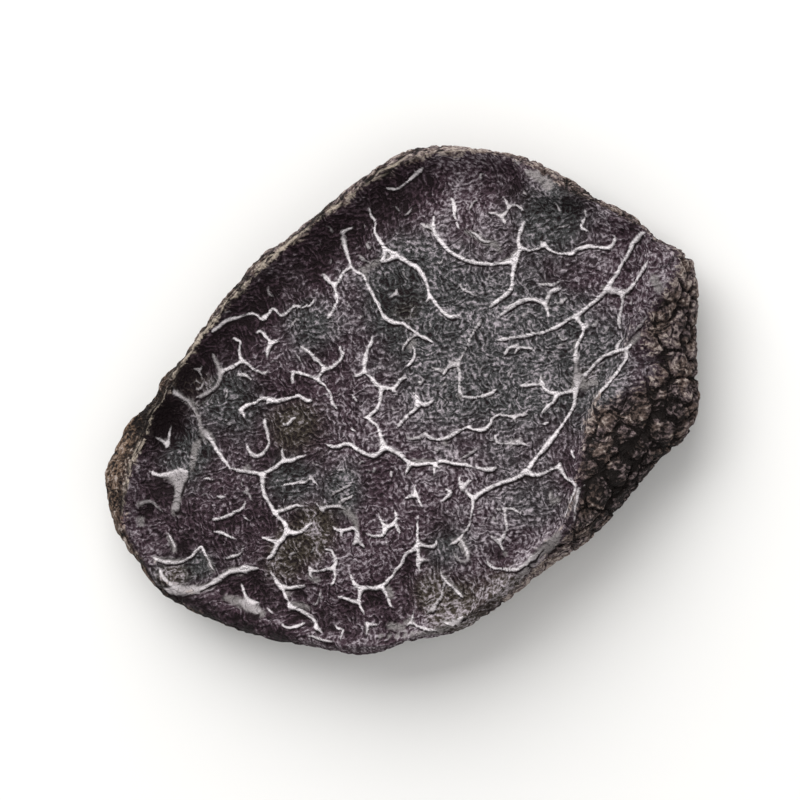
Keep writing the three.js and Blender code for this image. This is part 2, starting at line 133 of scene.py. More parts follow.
BRANCHES = """
  300.8,64.3 303.4,66.3 305,69 305.4,72.3
  316,67.4 317.5,70.6 316,74.4 314.8,76.4 317,78.4 320.5,79.6
  257,79.6 260.5,80.2 262.6,82.6 265,84.4 270,84
  250,281.8 253.5,283.6 256,284.6
  248,281.5 248.6,286.5
  243.4,279.8 247.7,281.2 252,279.4 256,277
  280.5,142.2 283.5,139.1 286.5,139.3 290,139.6 292.2,142.2
  275,143.2 278,139.6 283,137.4
  228.8,137.5 229.8,141 229.6,144 227.6,146.6 225.4,149.2
  338,141 337,146 334.5,150.3 331.3,154.3 328,158.2 323.8,163.3 321.3,165.5
  283.7,88 283.1,84 283.3,80.5 284.6,77 286.5,72.5
  336,111 336,115.5 335.3,120 334.5,124.5 334.6,128 336.5,129.7
  316.5,128.5 320,127.2
  312.3,160.3 309,161.3 305,162.6 300.5,162.5 296.8,161 295.3,158.5 294.5,155.5 295.2,151
  295,158 290,158.3 283.5,158.7
  302.8,163 301.2,166.8 298,169.8 294.5,173.5
  286.3,203 292,204.6 297,203.3 301,201.3 303.4,200 304.5,197.6
  304,201 306,204.2 309,207.2 312.6,209.6
  260,216.5 258,215 256,212.6
  259.8,217 259.4,221 259,225.5 258.3,229.3 256.3,233 253.7,236.7 250.5,239.3 247,240.5
  253.6,238.5 255.2,242 256.6,245.2 257.4,248.3
  252.5,146 251.5,147.2 248,148.2 245.5,150.3 243.5,153.7
  252,148.5 252.5,153 252.6,158 253.2,163.5 256.5,164.6 261,164.8 265,163.6 268.7,162.4 272,160.3
  203.7,151 200.7,153.2 196.8,153.8
  205.4,175.3 202.8,175.3
  218.6,160.3 220,162.3 221.6,164.2
  160.9,190.3 161,194 161.7,197.3
  163,234.6 167,235.2 170.2,234.4 173.3,232 177.3,229.3
  149.3,237.6 153,238.6 158,240.3
  157.5,224.7 161,223.4 164.5,222 168,220.6 172.2,221
  123.5,131.5 125.3,129.6 127,128 130,125.6 133.3,124 137,123.4 141,121.8 145,121 148,122.2
    150,123.8 152,122.3
  151,123.3 153.5,121 155.5,118.7 157.5,119.6 159.7,121.6 162.3,121 165,118.7 167.5,117.5
    171.3,117.6 175,116.8 176.7,115 177.7,112.6
  128.5,151 131.7,149.8 135.7,148 140,145.8 142.7,147.4 146,150 150.3,151.9 154.5,151.5
  134,134.8 135.7,133.5 137,134.9 138.6,136 138.4,140 139,143.3 140,145.8
  169.8,138 172.3,139.6 175,141.3 177.5,144 180.5,147.2 183.3,149.7 186.3,149.3 188.7,147 191.2,145
    192.3,142.3 190.9,140.3 190.4,137.4
  183.3,149.7 181.3,152.3 178.6,154.7 174.5,153.2 170,151.8 166.3,151.5 165.8,155 166.5,158.5
  178.6,154.9 181,156.8 184.2,159.8 186,163 186.7,167 188.4,169.2 190.2,171.5
  139,171.5 141.3,169.3 145,167.8 149,165.6 153,165.5 156,166.3 159,166.2 163,165.4 166.5,164.5
    168.7,163.6 170.8,164.3 173.3,166 177,166.3
  152.3,168.3 156,166.8
  198.5,75 196,77 191,79
  196.5,97.3 193.6,98.7 191.5,101.5 190,104.3 187.8,105.7 185.5,105 183.3,102.3
  187.8,105.9 188.6,109.5 189.2,113 188.4,117 186.5,120.5 183.6,123.9
  227.8,161.3 229.4,163 230.8,165.3 231.6,167.8 234,168.6 236,168.3 238,166.7 239.7,165.2
  231.5,168 229,171.3 226,173.7 223.5,176.8 220.3,180
  235,183 237,184.9 239.3,186.3 243,186.5 247,184.8 250,182.9 254.5,181.2 257.8,180 260.3,181.1
    263.3,181.5 266.3,180.6 268.6,178.5 269.7,175.8 272.5,173.8 277,173.7 280.5,175 284,173.8
    288.3,172.3
  257.9,180 258,176.8
  280.6,175 281.6,178.6
  231.3,224.7 231,230 231.3,235 231.3,240 234.8,241.6 238.8,241.6 240.8,239.3 240,237.4
  230.9,243 231,247.3 231.6,251.3 233.2,256.5
  231,249.4 234,248.8 236.3,249.5
  196.2,254.5 196.9,258 198.6,261.3 201.7,263.9
  188.5,268 193,268.5 197,270 200.7,270.6
  212.6,262.8 214.6,266.3 216.4,270 218,273.6
  93,247.5 98,250 104,250.7 109,249.9 113,247.5 116,244.6 118.6,242.4 121,246.7 122.8,251 125,255.2
  97,253.5 97.6,257 99.6,260 103,262.5 107.3,264.2
  153.5,254.5 155.7,256.8 157.7,260.2 160,263.3 162,267 164,270.5 164.7,273.5
  159,262 161.5,263 165,263.5 169,263 173.3,262.2
  164.7,273.5 168,274.3 171,275.7 174.5,278 178,280.8 178.7,284 181.3,287
  182.6,243.3 186,244 188,246.4 189,249.5 188,252.3 188.3,256 187.5,259.5 186,263
  187.6,252.8 184,253.7 180,254.6 176.2,254.8 174.6,252.6
  174.8,254 175.2,257 177,259.5
  204.3,235 208,236.6 212,236.5 213.8,234.5 213.7,231 212,228 210.4,223.8
  213.9,232.3 217,230.9 219.5,228.7 219.9,225.5 219,222.3
  186.5,231 189,233 192,233.5 195.3,232.5 198.4,232.5 200,235 199.7,238.3
  266.3,247 267.7,250.4 270.7,252.9 275,252.8 281.5,253.3 285.5,250.8 289.5,247
  268.5,235 270.4,237.4 272.5,238.6 274.8,237 276.6,234.3 277,231 276.5,227 276.3,223
  270.3,221 273,222.3 277,222 279.7,222 282.3,223.5 285,224.7
  272.4,238.8 274,241.5 276.2,245.6
  242.7,252.5 243.1,256 245,258.7 248,261.6 251.3,264.7 255,268
  151.4,173 151.8,178 153,183 154,188 152.6,191.6 150,194.4 147,195.3 144.5,193.5 142.4,190 142,188.3
  159.4,211 163,210.2 168,209.1 173,208.3 175.6,206.5 177.2,208.2 179.7,211
  271.5,124.5 275.5,121 279,117.6 283.5,115 289.3,113.6 293.5,115 296.7,116.4 298,119.5 298.4,124.5
  297,116 298.5,112.5 300,110 303,109.8 306,107.7
  89.3,203 93,204.3 97.3,205.3 101,204.7 104,203.6 107.3,202.5 110,203 112.8,203.5
  93.5,184.4 96.6,187 100,189.3
  102.6,178.6 101.3,184 100,190.5
  118.5,207 123,206.8 127.6,207.8
  242.2,219 245,217 248.7,213.9 247,212.8 245.2,211.3
"""

TWIGS = """
  262.8,126.3 260.3,129.8 258.5,133.2 257,136.7 255.5,140.3 253.6,144 251.5,147.2
  214.3,56.5 221,56.5 224.5,54 228.5,50.2 232,47.2 234.7,45.3
  213.9,88.5 214,91.5 212.2,94.2 216.5,93.3 220.3,91.3
  232.3,74.4 235.3,76.6 239,77.8
  247.5,60.8 249.2,63.5 250.6,67 250.4,71 251.5,74.7 253.2,78.7
  265.5,69.9 269.5,69.3 273,70.6 275.4,73 276.8,75.4
  273.8,71.2 276.3,69.5 278,66.4 281,65.6 284.7,67.3 286.6,69.2
  278,66.4 276.4,62.5 274,60.5
  271.6,86 273.4,89.2
  252.5,105.8 253.7,108.5 257,109.6 260,111.6 264,112.2
  292.5,106.8 296,106 300.6,106.5 303,105.4 305.6,103.4
  301,115.5 304,116.5 306.2,115.1 308.3,113
  231,132.3 228,134 225.5,136.2 224.2,138.3 223.4,141
  271.5,140 275.3,140.3
  273.2,150.6 272.3,153.6
  271,184.4 272.1,187.6 273.7,188.6 278,188.6 282,188.3 284,186 284.6,183.4
  278.5,184 279.3,188
  282,188.3 285,188.2 288.2,189.6
  292,177.8 296,178.5 299.2,177.2
  217.3,201.5 217,204.7 218.8,209
  231,203.5 234.6,203
  226.8,199.3 225.5,202 224,205.6
  239.8,199.3 239.7,206.3
  240.5,199.5 243,202
  252.4,205.6 253,209.3 253.8,212
  254,211 256.6,208.6 260,206.9
  229.4,209.8 229.9,213 231.2,216 232.5,219 233.4,222.2
  230.2,214.8 226.5,216 222.5,218
  219.8,230 221,233 222.6,235.2
  214,238 215,240 215.7,242.6
  199.8,238.4 196.8,241.3
  200.8,239.3 203.6,242.6
  191.5,234 191.5,238
  178,219.4 181.3,222.3 182.6,224.7
  181.4,222.3 184.5,221.3 189.5,221 193.5,222.3
  310,190.8 311,194 312.6,196.7
  123,227.9 127,227.5 132,226.1 136,224.6 139.6,222.5 141.2,220.5 141.6,217.8
  124,234 129,235.1 133,237 137.3,238.4
  130.8,248.1 135,247.4 138.6,246 140.2,243.3 140.6,239.6
  125.4,214.8 127.6,216.8 131.8,216
  139.2,226.4 143,228.2 144.7,229
  100.6,234.3 102.6,238.3 104,242 104.4,244.8
  135.5,153.6 138.5,152.5 141.6,153 144,155 146,157.3
  146.4,131.5 149.2,130.2 151.6,132 153.6,134.3 155.2,136 159.4,135
  155.2,136 153.6,138.5 152.8,141.3 153.6,144.7
  138.9,171.6 140.6,173.6 141.5,175.6
  197,162.8 199.5,166 201.6,168.6
  182,162.7 184.3,163.3
  189.3,163.4 192.2,162.3
  159.3,177.5 162,178.8 164.7,177.7 166,175.5 168.3,174.8
  194.8,180 197.5,181.5 199.7,182.5
  139,260.5 140,263.5 141.6,267.2 144.2,270.2 149,271.2
  159.4,280.5 161.2,283.1 165,284 170,283 172.7,281.4
  204.4,281 205,284.3 204.4,288 203,290
  205,281.7 209,282.6 212.3,281.8
  229.3,274.3 228.5,278 227,281 224.4,283.7
  227.4,281 231,283 236,284.6 240.5,285.5
  187.3,281.8 189.5,284.5 192.5,285 191.5,288 191,291
  333,138.5 335,136 337.7,133
  209,147.8 211,149.4 214.3,149.3
  237,148.5 240,149.8 244,150.6
  247.8,144.3 248.3,147.5
  194.7,114 195,116.8 197.2,118.2
  223.2,82.2 224,82.9
  250.2,66 251.2,68
  294.2,84 295,84.6
  190.7,125 191.3,127.2
  138.2,185.2 139.6,184.8
  253,46.4 256,47.6
  86.4,228.3 87,231
"""

TRACES = """
  219.7,107 219.8,111 217.3,112.5 216,114.5
  219.8,111 222,112
  237.5,112 236.5,114.2 235.4,116.8
  204,121.5 199.3,124
  182,100.5 183.6,102.8
  230.6,158.8 232.4,158.3 231.6,155.8
  232.8,157.3 236,153.6
  225.3,182 226.6,186.3 231.5,185.4 234,184
  229,181.6 232,179.6
  262.8,126.3 265,123.5
  253,197 258,194 263,190.4
  173.6,189 175.5,186.5 177.6,184.3
  129.5,176.5 132.3,176.5
  132,178.5 135.7,178
  162.5,183.5 166.2,183.6
  297,165 294.6,169
  323.5,121.8 323.4,125.5 321,128
  266,186.2 270,186.6
  319.6,203 318,207 316,210.6
  312,211 310.5,215.5 308.7,221 306.3,228
  314,211 312.7,218 311,229
  299.6,212.5 299.4,217.5 300,222.5
  303.3,216 303.2,219.5
  292.4,221.4 294,223.4 293.6,226.3
  290.4,232.6 291,229.1 294.4,229
  289.3,248 293,244 296.3,240.3
  249,243.5 250.4,246.6 253,249 256.3,249.6
  245.6,259.6 244,263.3 243.4,267.5 240.5,271.5 238.5,275
  235,277 238.5,273.5
  217,284 220.3,281
  173,288 182,290.5 188.5,291
  152,274 158,278
  112,266 117,266.6 119.3,268.6
  210.2,208.3 210.7,211.2
  279,189 279,192.3
  184,217 192,212.3 198,208.3
  190,219.2 200,215
  349,122.3 345.5,126.5 341.5,131.5
  318,158.2 322.5,158.6
  168,142.5 171.2,147
  168,105 169,106.3
"""


class Salt(IntEnum):
    """Which draws a noise takes. Those up to WARP, but for the two ragged ones, are the solid's."""

    WART = 1
    SWELL = 4
    WRINKLE = 5
    UNDER_WRINKLE = 6
    UNDER_SWELL = 7
    RAGGED = 8
    FINE_RAGGED = 9
    WARP = 11
    WOBBLE_X = 21
    WOBBLE_Y = 22
    WIDTH = 23
    QUIVER_X = 24
    QUIVER_Y = 25
    PALENESS = 26
    FINE = 31
    FINEST = 32
    SKIN_WRINKLE = 41
    SKIN_WARP = 44
    SKIN_EDGE = 51
    FINE_SKIN_EDGE = 52


def lattice(ix: np.ndarray, iy: np.ndarray, iz: np.ndarray, salt: int) -> np.ndarray:
    """Gives a repeatable number from 0 to 1 for each cell of a lattice.

    Args:
        ix: whole cell numbers along X.
        iy: whole cell numbers along Y.
        iz: whole cell numbers along Z.
        salt: number that makes one set of draws differ from another.

    Returns:
        One number from 0 to 1 for each cell.
    """
    mixed = [np.asarray(i).astype(np.int64).astype(np.uint32) for i in (ix, iy, iz)]
    x, y, z = (part * np.uint32(factor) for part, factor in zip(mixed, AXIS_FACTORS))
    h = x ^ y ^ z ^ np.uint32(int(salt) * SALT_FACTOR & WORD_MASK)
    h = (h ^ h >> np.uint32(15)) * np.uint32(MIX_FACTORS[0])
    h = (h ^ h >> np.uint32(13)) * np.uint32(MIX_FACTORS[1])
    return (h ^ h >> np.uint32(16)).astype(float) / (WORD_MASK + 1)


def smoothstep(values: np.ndarray, low: float, high: float) -> np.ndarray:
    """Eases values from 0 at low to 1 at high."""
    t = np.clip((values - low) / (high - low), 0.0, 1.0)
    return t * t * (3.0 - 2.0 * t)


def hump(gap: np.ndarray, width: float) -> np.ndarray:
    """Falls softly from 1 at no gap towards 0 past a width."""
    return np.exp(-((gap / width) ** 2))


def turn_from(bearing: np.ndarray, degrees: float) -> np.ndarray:
    """Gives how far bearings are turned from a middle one in degrees, in radians."""
    return np.angle(np.exp(1j * (bearing - math.radians(degrees))))


def facing(bearing: np.ndarray, middle: float) -> np.ndarray:
    """Tells how squarely bearings face a middle one: 1 at it, 0 from a quarter turn away."""
    return np.maximum(0, np.cos(bearing - middle))


def at_least(share: np.ndarray, least: float) -> np.ndarray:
    """Lifts a share of 0 to 1 so that it starts at a least value."""
    return least + (1 - least) * share


def soft_noise(places: np.ndarray, size: float, salt: int) -> np.ndarray:
    """Gives smooth noise from -1 to 1 at places.

    Args:
        places: array of points, one row each.
        size: length of a swelling.
        salt: number that makes one noise differ from another.

    Returns:
        One number from -1 to 1 for each place.
    """
    scaled = places / size
    cell = np.floor(scaled)
    share = scaled - cell
    eased = share * share * (3.0 - 2.0 * share)
    total = np.zeros(len(places))
    for corner in range(8):
        step = np.array([corner & 1, corner >> 1 & 1, corner >> 2])
        weight = np.prod(np.where(step, eased, 1.0 - eased), axis=1)
        total += weight * lattice(*(cell + step).T, salt)
    return 2.0 * total - 1.0


def packed_domes(places: np.ndarray, size: float, salt: int) -> tuple[np.ndarray, np.ndarray]:
    """Finds how far each place lies from the two nearest middles of packed domes.

    Args:
        places: array of points, one row each.
        size: width of a dome.
        salt: number that makes one packing differ from another.

    Returns:
        The distance to the nearest middle and to the second nearest, as shares of size.
    """
    scaled = places / size
    cell = np.floor(scaled)
    margin = (1 - DOME_SCATTER) / 2
    nearest = np.full(len(places), FAR_OFF)
    second = np.full(len(places), FAR_OFF)
    for n in range(27):
        home = cell + np.array([n % 3 - 1, n // 3 % 3 - 1, n // 9 - 1])
        draws = np.stack([lattice(*home.T, salt + k) for k in range(3)], axis=1)
        distance = np.linalg.norm(home + margin + DOME_SCATTER * draws - scaled, axis=1)
        distance += DOME_UNEVEN * lattice(*home.T, salt + 3)
        second = np.minimum(second, np.maximum(distance, nearest))
        nearest = np.minimum(nearest, distance)
    return nearest, second


def warped(places: np.ndarray, size: float, depth: float, salt: int) -> np.ndarray:
    """Shifts places about softly, so that what is drawn on them gets wavy edges.

    Args:
        places: array of points, one row each.
        size: length of a wave.
        depth: how far a place may shift.
        salt: number that makes one warp differ from another.

    Returns:
        The shifted places.
    """
    return places + depth * np.stack([soft_noise(places, size, salt + k) for k in range(3)], axis=1)


def smooth_path(points: np.ndarray, closed: bool, cuts: int) -> np.ndarray:
    """Runs a smooth curve through points.

    Args:
        points: control points, one row each.
        closed: whether the last point joins the first.
        cuts: number of curve points for each stretch between control points.

    Returns:
        The curve's points, one row each.
    """
    if closed:
        padded = np.vstack([points[-1:], points, points[:2]])
    else:
        padded = np.vstack([2 * points[:1] - points[1:2], points, 2 * points[-1:] - points[-2:-1]])
    t = np.linspace(0.0, 1.0, cuts, endpoint=False)[:, None]
    pieces = []
    for a, b, c, d in zip(padded, padded[1:], padded[2:], padded[3:]):
        bend = (2 * a - 5 * b + 4 * c - d) * t**2 + (3 * b - a - 3 * c + d) * t**3
        pieces.append(0.5 * (2 * b + (c - a) * t + bend))
    if not closed:
        pieces.append(points[-1:])
    return np.vstack(pieces)


@dataclass
class Drawing:
    """A drawing of the slice on a grid, seen from a slant towards +X, x right and y down."""

    step: float = 0.13 * MM
    tilt: float = math.radians(20)
    middle: tuple[float, float] = (222.0, 166.0)
    level: float = 3.0 * MM

    def plan(self, drawn: np.ndarray, height: np.ndarray | float) -> np.ndarray:
        """Gives the plan places of drawn points.

        Args:
            drawn: grid coordinates, one row each.
            height: the height that each point is seen at.

        Returns:
            X and Y of each point.
        """
        across = (drawn[:, 0] - self.middle[0]) * self.step
        lean = (height - self.level) * math.sin(self.tilt)
        x = (across + lean) / math.cos(self.tilt)
        return np.stack([x, (self.middle[1] - drawn[:, 1]) * self.step], axis=1)

    @staticmethod
    def read(text: str) -> np.ndarray:
        """Reads the points of one drawn line."""
        return np.array([[float(v) for v in pair.split(",")] for pair in text.split()])

    @staticmethod
    def lines(text: str) -> list[str]:
        """Parts a table into its drawn lines, where a row indented further runs on."""
        return text.strip().replace("\n    ", " ").splitlines()


@dataclass
class Swell:
    """A soft hump or hollow of the cut face: its middle on the drawing, radius and height."""

    x: float
    y: float
    radius: float
    height: float


@dataclass(frozen=True)
class Spot:
    """A soft round part of the cut face: its middle on the drawing, radius and amount."""

    x: float
    y: float
    radius: float
    amount: float


# Veils: pale flesh that lies flat in the cut where veins meet or spread out. Each is a ribbon on
# the drawing grid, with x, y and half its width at each point.
VEILS = """
  98.5,205.8,0.9 105,206.5,1.6 111.5,206,0.9
  107,208,4 107,211,3.3 106.6,214,2.6 105.8,218,2 105,221.5,1.8 104.7,224.3,2.3
  118.5,182,1.8 121,184.3,3 124,187,1.8
  117.5,187.5,1.5 115.3,190,2 114.5,194,2 114,198,1.6 113.5,202,1.2
  101,157,1.5 104,161,1.6 108,164.5,1.3 112,167.5,1.9 114,167.5,1.6 117.5,176.5,1.4
  86.3,220.4,1.1
  86.5,228,1.2 87,231,1.2
  101,237,0.8 103,240,1.4 104,244,1.5
  121.5,248,1 123,251.5,1.4 124.5,254.5,1.3
  95,249,1.3 100,250.3,2 105,250.6,1.7 108.5,250,1
  114,263.8,1.2 119,264,1.9 124,262.3,1.9 127.5,259.3,1.1 130.5,256.7,1 134,255,1.9 138,255,2.2 141,254,1.2
  139,256.5,1.1
  201,98,0.9 203,98.5,1.9 204,101,1.4 204.4,104,0.9
  234.5,76,1 237.5,77,1.8 239.3,79,1.2
  213.8,91,0.9 216,92,1.2
  275,94.5,0.9 279,93.3,1.7 281,92.8,2.4 282.6,90,1.6
  327,108.5,1.6 329.5,108.3,1.8
  334.5,111.5,1 336.3,112,1.9 338.3,111,1.2
  311,160.5,1 313,157,2.6 315,157,3 317,159,2.3 315.5,154.5,1.9 313.5,152,1
  318.5,157.5,1.2 323,157,1.6
  313,137,1.3 312.3,141,1.1
  352,104,2.5 354,109,2
  337,141,1.2 341,136.5,1.8 344.5,132.5,1.5
  228,134.5,1 228.5,136.5,2.2 227,138,2 225,138,1.2
  246.3,186.5,1.4 245.5,188,1.6
  253,164,1.7
  268.3,163.3,1.6
  251,148,1.7 248.5,148.5,1.2
  141.5,202,1.6 143,201,1.4
  213,190,1.6
  206,175,1.3
  228,197.5,0.8 233,197.8,1.4 239,197.6,1.1
  157.5,224.5,1.2 160,222.8,0.9 165,222,1.2 170,221.5,1.3
  190,222,0.9 194,223.5,1.8 197.3,226.5,2.2 199,230,1.6 200,234,1.1
  175,256,1.2 176,259,1.3 179,259.5,1.6
  161.5,264,1 163,265.5,1.7 163.7,268.5,0.9
  165.5,272,1 167.3,272.8,2 171,273,1.7 175,274,0.9
  205,286,1.1 204.4,283,0.9
  209.5,263.5,1.2
  215.5,264,1.8 217,267.5,1.4
  250.5,239.3,1.6 253,238.8,2.2 255.3,242,1.8 256.8,246,1.3
  131,269,1.3 137,270.6,2.2 143,272.6,2.8 150,277.5,2
  212,288.5,1.3 230,287,1.8 244,285.3,2 256,282,2.4 265,277.5,2.4 274,270.5,2.2 282,260,2.2 289,249,2
  205,97,1.6 208.5,95.5,1.8 212.5,93.5,1.6 216.5,91,2
  282,44,1.2
  243.6,256,1 246,259,1.3 249.5,262.8,1.5 253.5,266.5,1.5
  225,281,1.3 228,279.5,1.5 228,282,1.6
  216.5,283,1.6 220.5,283.5,1.9 224,284,1.3
  245,280.3,1.3 248,282,2.4 251,280.4,1.7
  256,79,1.1 261,81,1.8 265,84.3,1.6 271,85.5,1.8 273.5,89,1.1
  276.2,245.3,1.3
  290,247,1.3 295,243.5,2.6 300,239,2.6 303,235.5,1.8
  299.5,214,1 300,219,1.3 303.5,217.5,1.6
  310.5,216,1.3 308.5,222,1.2
  313.3,215,1 312,222,1.1
  321.3,180,1.5 321.3,185,1.9 320.3,189.5,1.5 323,195,1.1
  322,164.5,1.5 325,162,1.2
  295,155,1.1
  298,117.5,1.1
  288,49,2 293,51,2.6 298,56,2.4
"""

# Small hollows of the cut face, dented into the mesh and darkened with painted shade, and how deep each is as
# a share.
DIMPLES = (
    Spot(226, 250, 0.55 * MM, 1.0), Spot(225, 256, 0.45 * MM, 0.8), Spot(209, 269, 0.75 * MM, 0.9),
    Spot(170, 278, 0.45 * MM, 1.0), Spot(109, 243, 0.7 * MM, 0.6), Spot(90, 224, 0.55 * MM, 0.9),
    Spot(183, 257, 0.4 * MM, 1.0), Spot(272, 245, 0.6 * MM, 0.7), Spot(235, 244, 0.4 * MM, 0.8),
    Spot(169, 266, 0.4 * MM, 0.9), Spot(156, 270, 0.7 * MM, 0.5), Spot(147, 258, 0.6 * MM, 0.7),
    Spot(150, 265, 0.6 * MM, 0.5), Spot(115, 252, 0.6 * MM, 0.5), Spot(97, 210, 0.8 * MM, 0.6),
    Spot(167, 228, 0.7 * MM, 0.5), Spot(188, 226, 0.7 * MM, 0.6), Spot(181, 227, 0.5 * MM, 0.5),
    Spot(311, 130, 0.45 * MM, 0.8), Spot(340, 98, 0.6 * MM, 0.5), Spot(196, 275, 0.6 * MM, 0.4),
    Spot(216, 281, 0.5 * MM, 0.6), Spot(184, 283, 0.45 * MM, 0.5), Spot(240, 251, 0.5 * MM, 0.5),
    Spot(265, 275, 0.5 * MM, 0.7), Spot(259, 279, 0.4 * MM, 0.8), Spot(271, 272, 0.35 * MM, 0.8),
    Spot(230, 95, 0.6 * MM, 0.4), Spot(303, 150, 0.5 * MM, 0.5), Spot(121, 194, 0.45 * MM, 0.7),
)

# Lighter (above 0) and darker (below 0) parts of the flesh and of the skin beside it.
# Most are the flesh's own tone, but some are painted light and shade: painted shade in the
# deep hollow at the left (93, 176), along the lower edge (100 to 158, 269 to 292) and under
# the rim at the top right (309, 63); a painted shadow on the lower right flank (342, 213);
# painted light that lifts the shade under the top lip (252, 46 and 255, 52); and a painted
# sheen on the right of the face (312, 150).
TONES_AND_PAINTED_SHADING = (
    Spot(93, 176, 1.6 * MM, -1.0), Spot(255, 52, 3.0 * MM, 0.35), Spot(222, 117, 2.0 * MM, -0.45),
    Spot(160, 190, 3.0 * MM, -0.3),
    Spot(150, 222, 2.6 * MM, -0.3), Spot(128, 232, 3.0 * MM, -0.3), Spot(312, 150, 4.5 * MM, 0.45),
    Spot(330, 105, 3.0 * MM, 0.2), Spot(245, 165, 4.5 * MM, 0.15), Spot(100, 215, 2.0 * MM, -0.3),
    Spot(150, 120, 2.5 * MM, -0.2), Spot(270, 120, 2.5 * MM, 0.1), Spot(300, 235, 3.0 * MM, 0.15),
    Spot(305, 107, 3.0 * MM, -0.35), Spot(117, 251, 0.7 * MM, 0.5), Spot(177, 235, 0.7 * MM, 0.7),
    Spot(121, 158, 0.7 * MM, 0.6), Spot(109, 152, 1.0 * MM, -0.5), Spot(222, 66, 1.6 * MM, -0.4),
    Spot(100, 269, 1.2 * MM, -0.9), Spot(118, 279, 1.2 * MM, -0.9), Spot(138, 286, 1.2 * MM, -0.9),
    Spot(158, 292, 1.2 * MM, -0.7), Spot(135, 262, 0.8 * MM, -0.5),
    Spot(342, 213, 5.0 * MM, -0.6), Spot(353, 105, 0.9 * MM, 0.4),
    Spot(168, 245, 1.8 * MM, -0.15), Spot(245, 232, 1.2 * MM, -0.5), Spot(309, 63, 1.2 * MM, -0.5),
    Spot(291, 53, 1.0 * MM, 0.6), Spot(103, 258, 1.0 * MM, 0.5), Spot(362, 94, 1.6 * MM, 0.4),
    Spot(252, 46, 2.2 * MM, 0.45), Spot(275, 267, 1.4 * MM, 0.5), Spot(290, 250, 1.4 * MM, 0.5),
    Spot(255, 281, 1.4 * MM, 0.4), Spot(232, 287, 1.2 * MM, 0.4), Spot(101, 195, 1.8 * MM, 0.4),
    Spot(166, 179, 1.6 * MM, 0.2), Spot(158, 248, 1.4 * MM, 0.15),
)

# Parts of the flesh with a cool grey cast, and parts with an olive one. The rest is faintly purple.
COOL_PARTS = (
    Spot(262, 140, 5.5 * MM, 1.0), Spot(316, 150, 3.5 * MM, 0.8), Spot(228, 112, 3.0 * MM, 0.9),
    Spot(112, 195, 1.8 * MM, 0.9), Spot(290, 215, 2.5 * MM, 0.4), Spot(300, 72, 2.4 * MM, 0.8),
    Spot(247, 243, 1.6 * MM, 0.6), Spot(165, 207, 1.5 * MM, 1.0), Spot(134, 166, 2.2 * MM, 0.7),
    Spot(175, 128, 1.8 * MM, 0.7), Spot(192, 213, 1.6 * MM, 0.8), Spot(118, 252, 0.9 * MM, 0.8),
    Spot(103, 258, 1.2 * MM, 0.9),
)
OLIVE_PARTS = (
    Spot(168, 180, 2.0 * MM, 1.0), Spot(178, 233, 1.7 * MM, 1.0), Spot(163, 248, 1.7 * MM, 0.9),
    Spot(236, 265, 1.6 * MM, 0.6), Spot(250, 270, 1.8 * MM, 0.9), Spot(93, 172, 1.5 * MM, 0.9),
    Spot(225, 119, 1.2 * MM, 0.5), Spot(275, 264, 1.8 * MM, 0.9), Spot(104, 258, 1.2 * MM, 0.8),
    Spot(114, 155, 1.6 * MM, 0.6), Spot(316, 156, 1.2 * MM, 0.5), Spot(250, 282, 1.6 * MM, 0.5),
)

# Rust-red parts of the skin.
RUST_PARTS = (
    Spot(79, 229, 0.7 * MM, 0.7), Spot(81, 237, 0.6 * MM, 0.4), Spot(77, 205, 0.8 * MM, 0.3),
)


@dataclass
class Surface:
    """Points laid out on the slice, with what is known about each.

    Attributes:
        places: the points, one row each.
        outward: direction out of the surface at each.
        on_face: whether each is on the cut face.
        on_underside: whether each is on the underside.
        inside: distance from the edge of the cut face or underside, below 0 on the flank, where
            it is the way down from the lip.
        hollow: soft relief of the cut face at each, below 0 in hollows.
        wart: height of the wart at each, from 0 where warts meet to 1.
        ring: distance of each from the middle of its wart.
        bearing: direction of each from the middle, in plan.
        fall: share of the way down the flank, 0 on the cut face and 1 on the underside.
    """

    places: np.ndarray
    outward: np.ndarray
    on_face: np.ndarray
    on_underside: np.ndarray
    inside: np.ndarray
    hollow: np.ndarray
    wart: np.ndarray
    ring: np.ndarray
    bearing: np.ndarray
    fall: np.ndarray


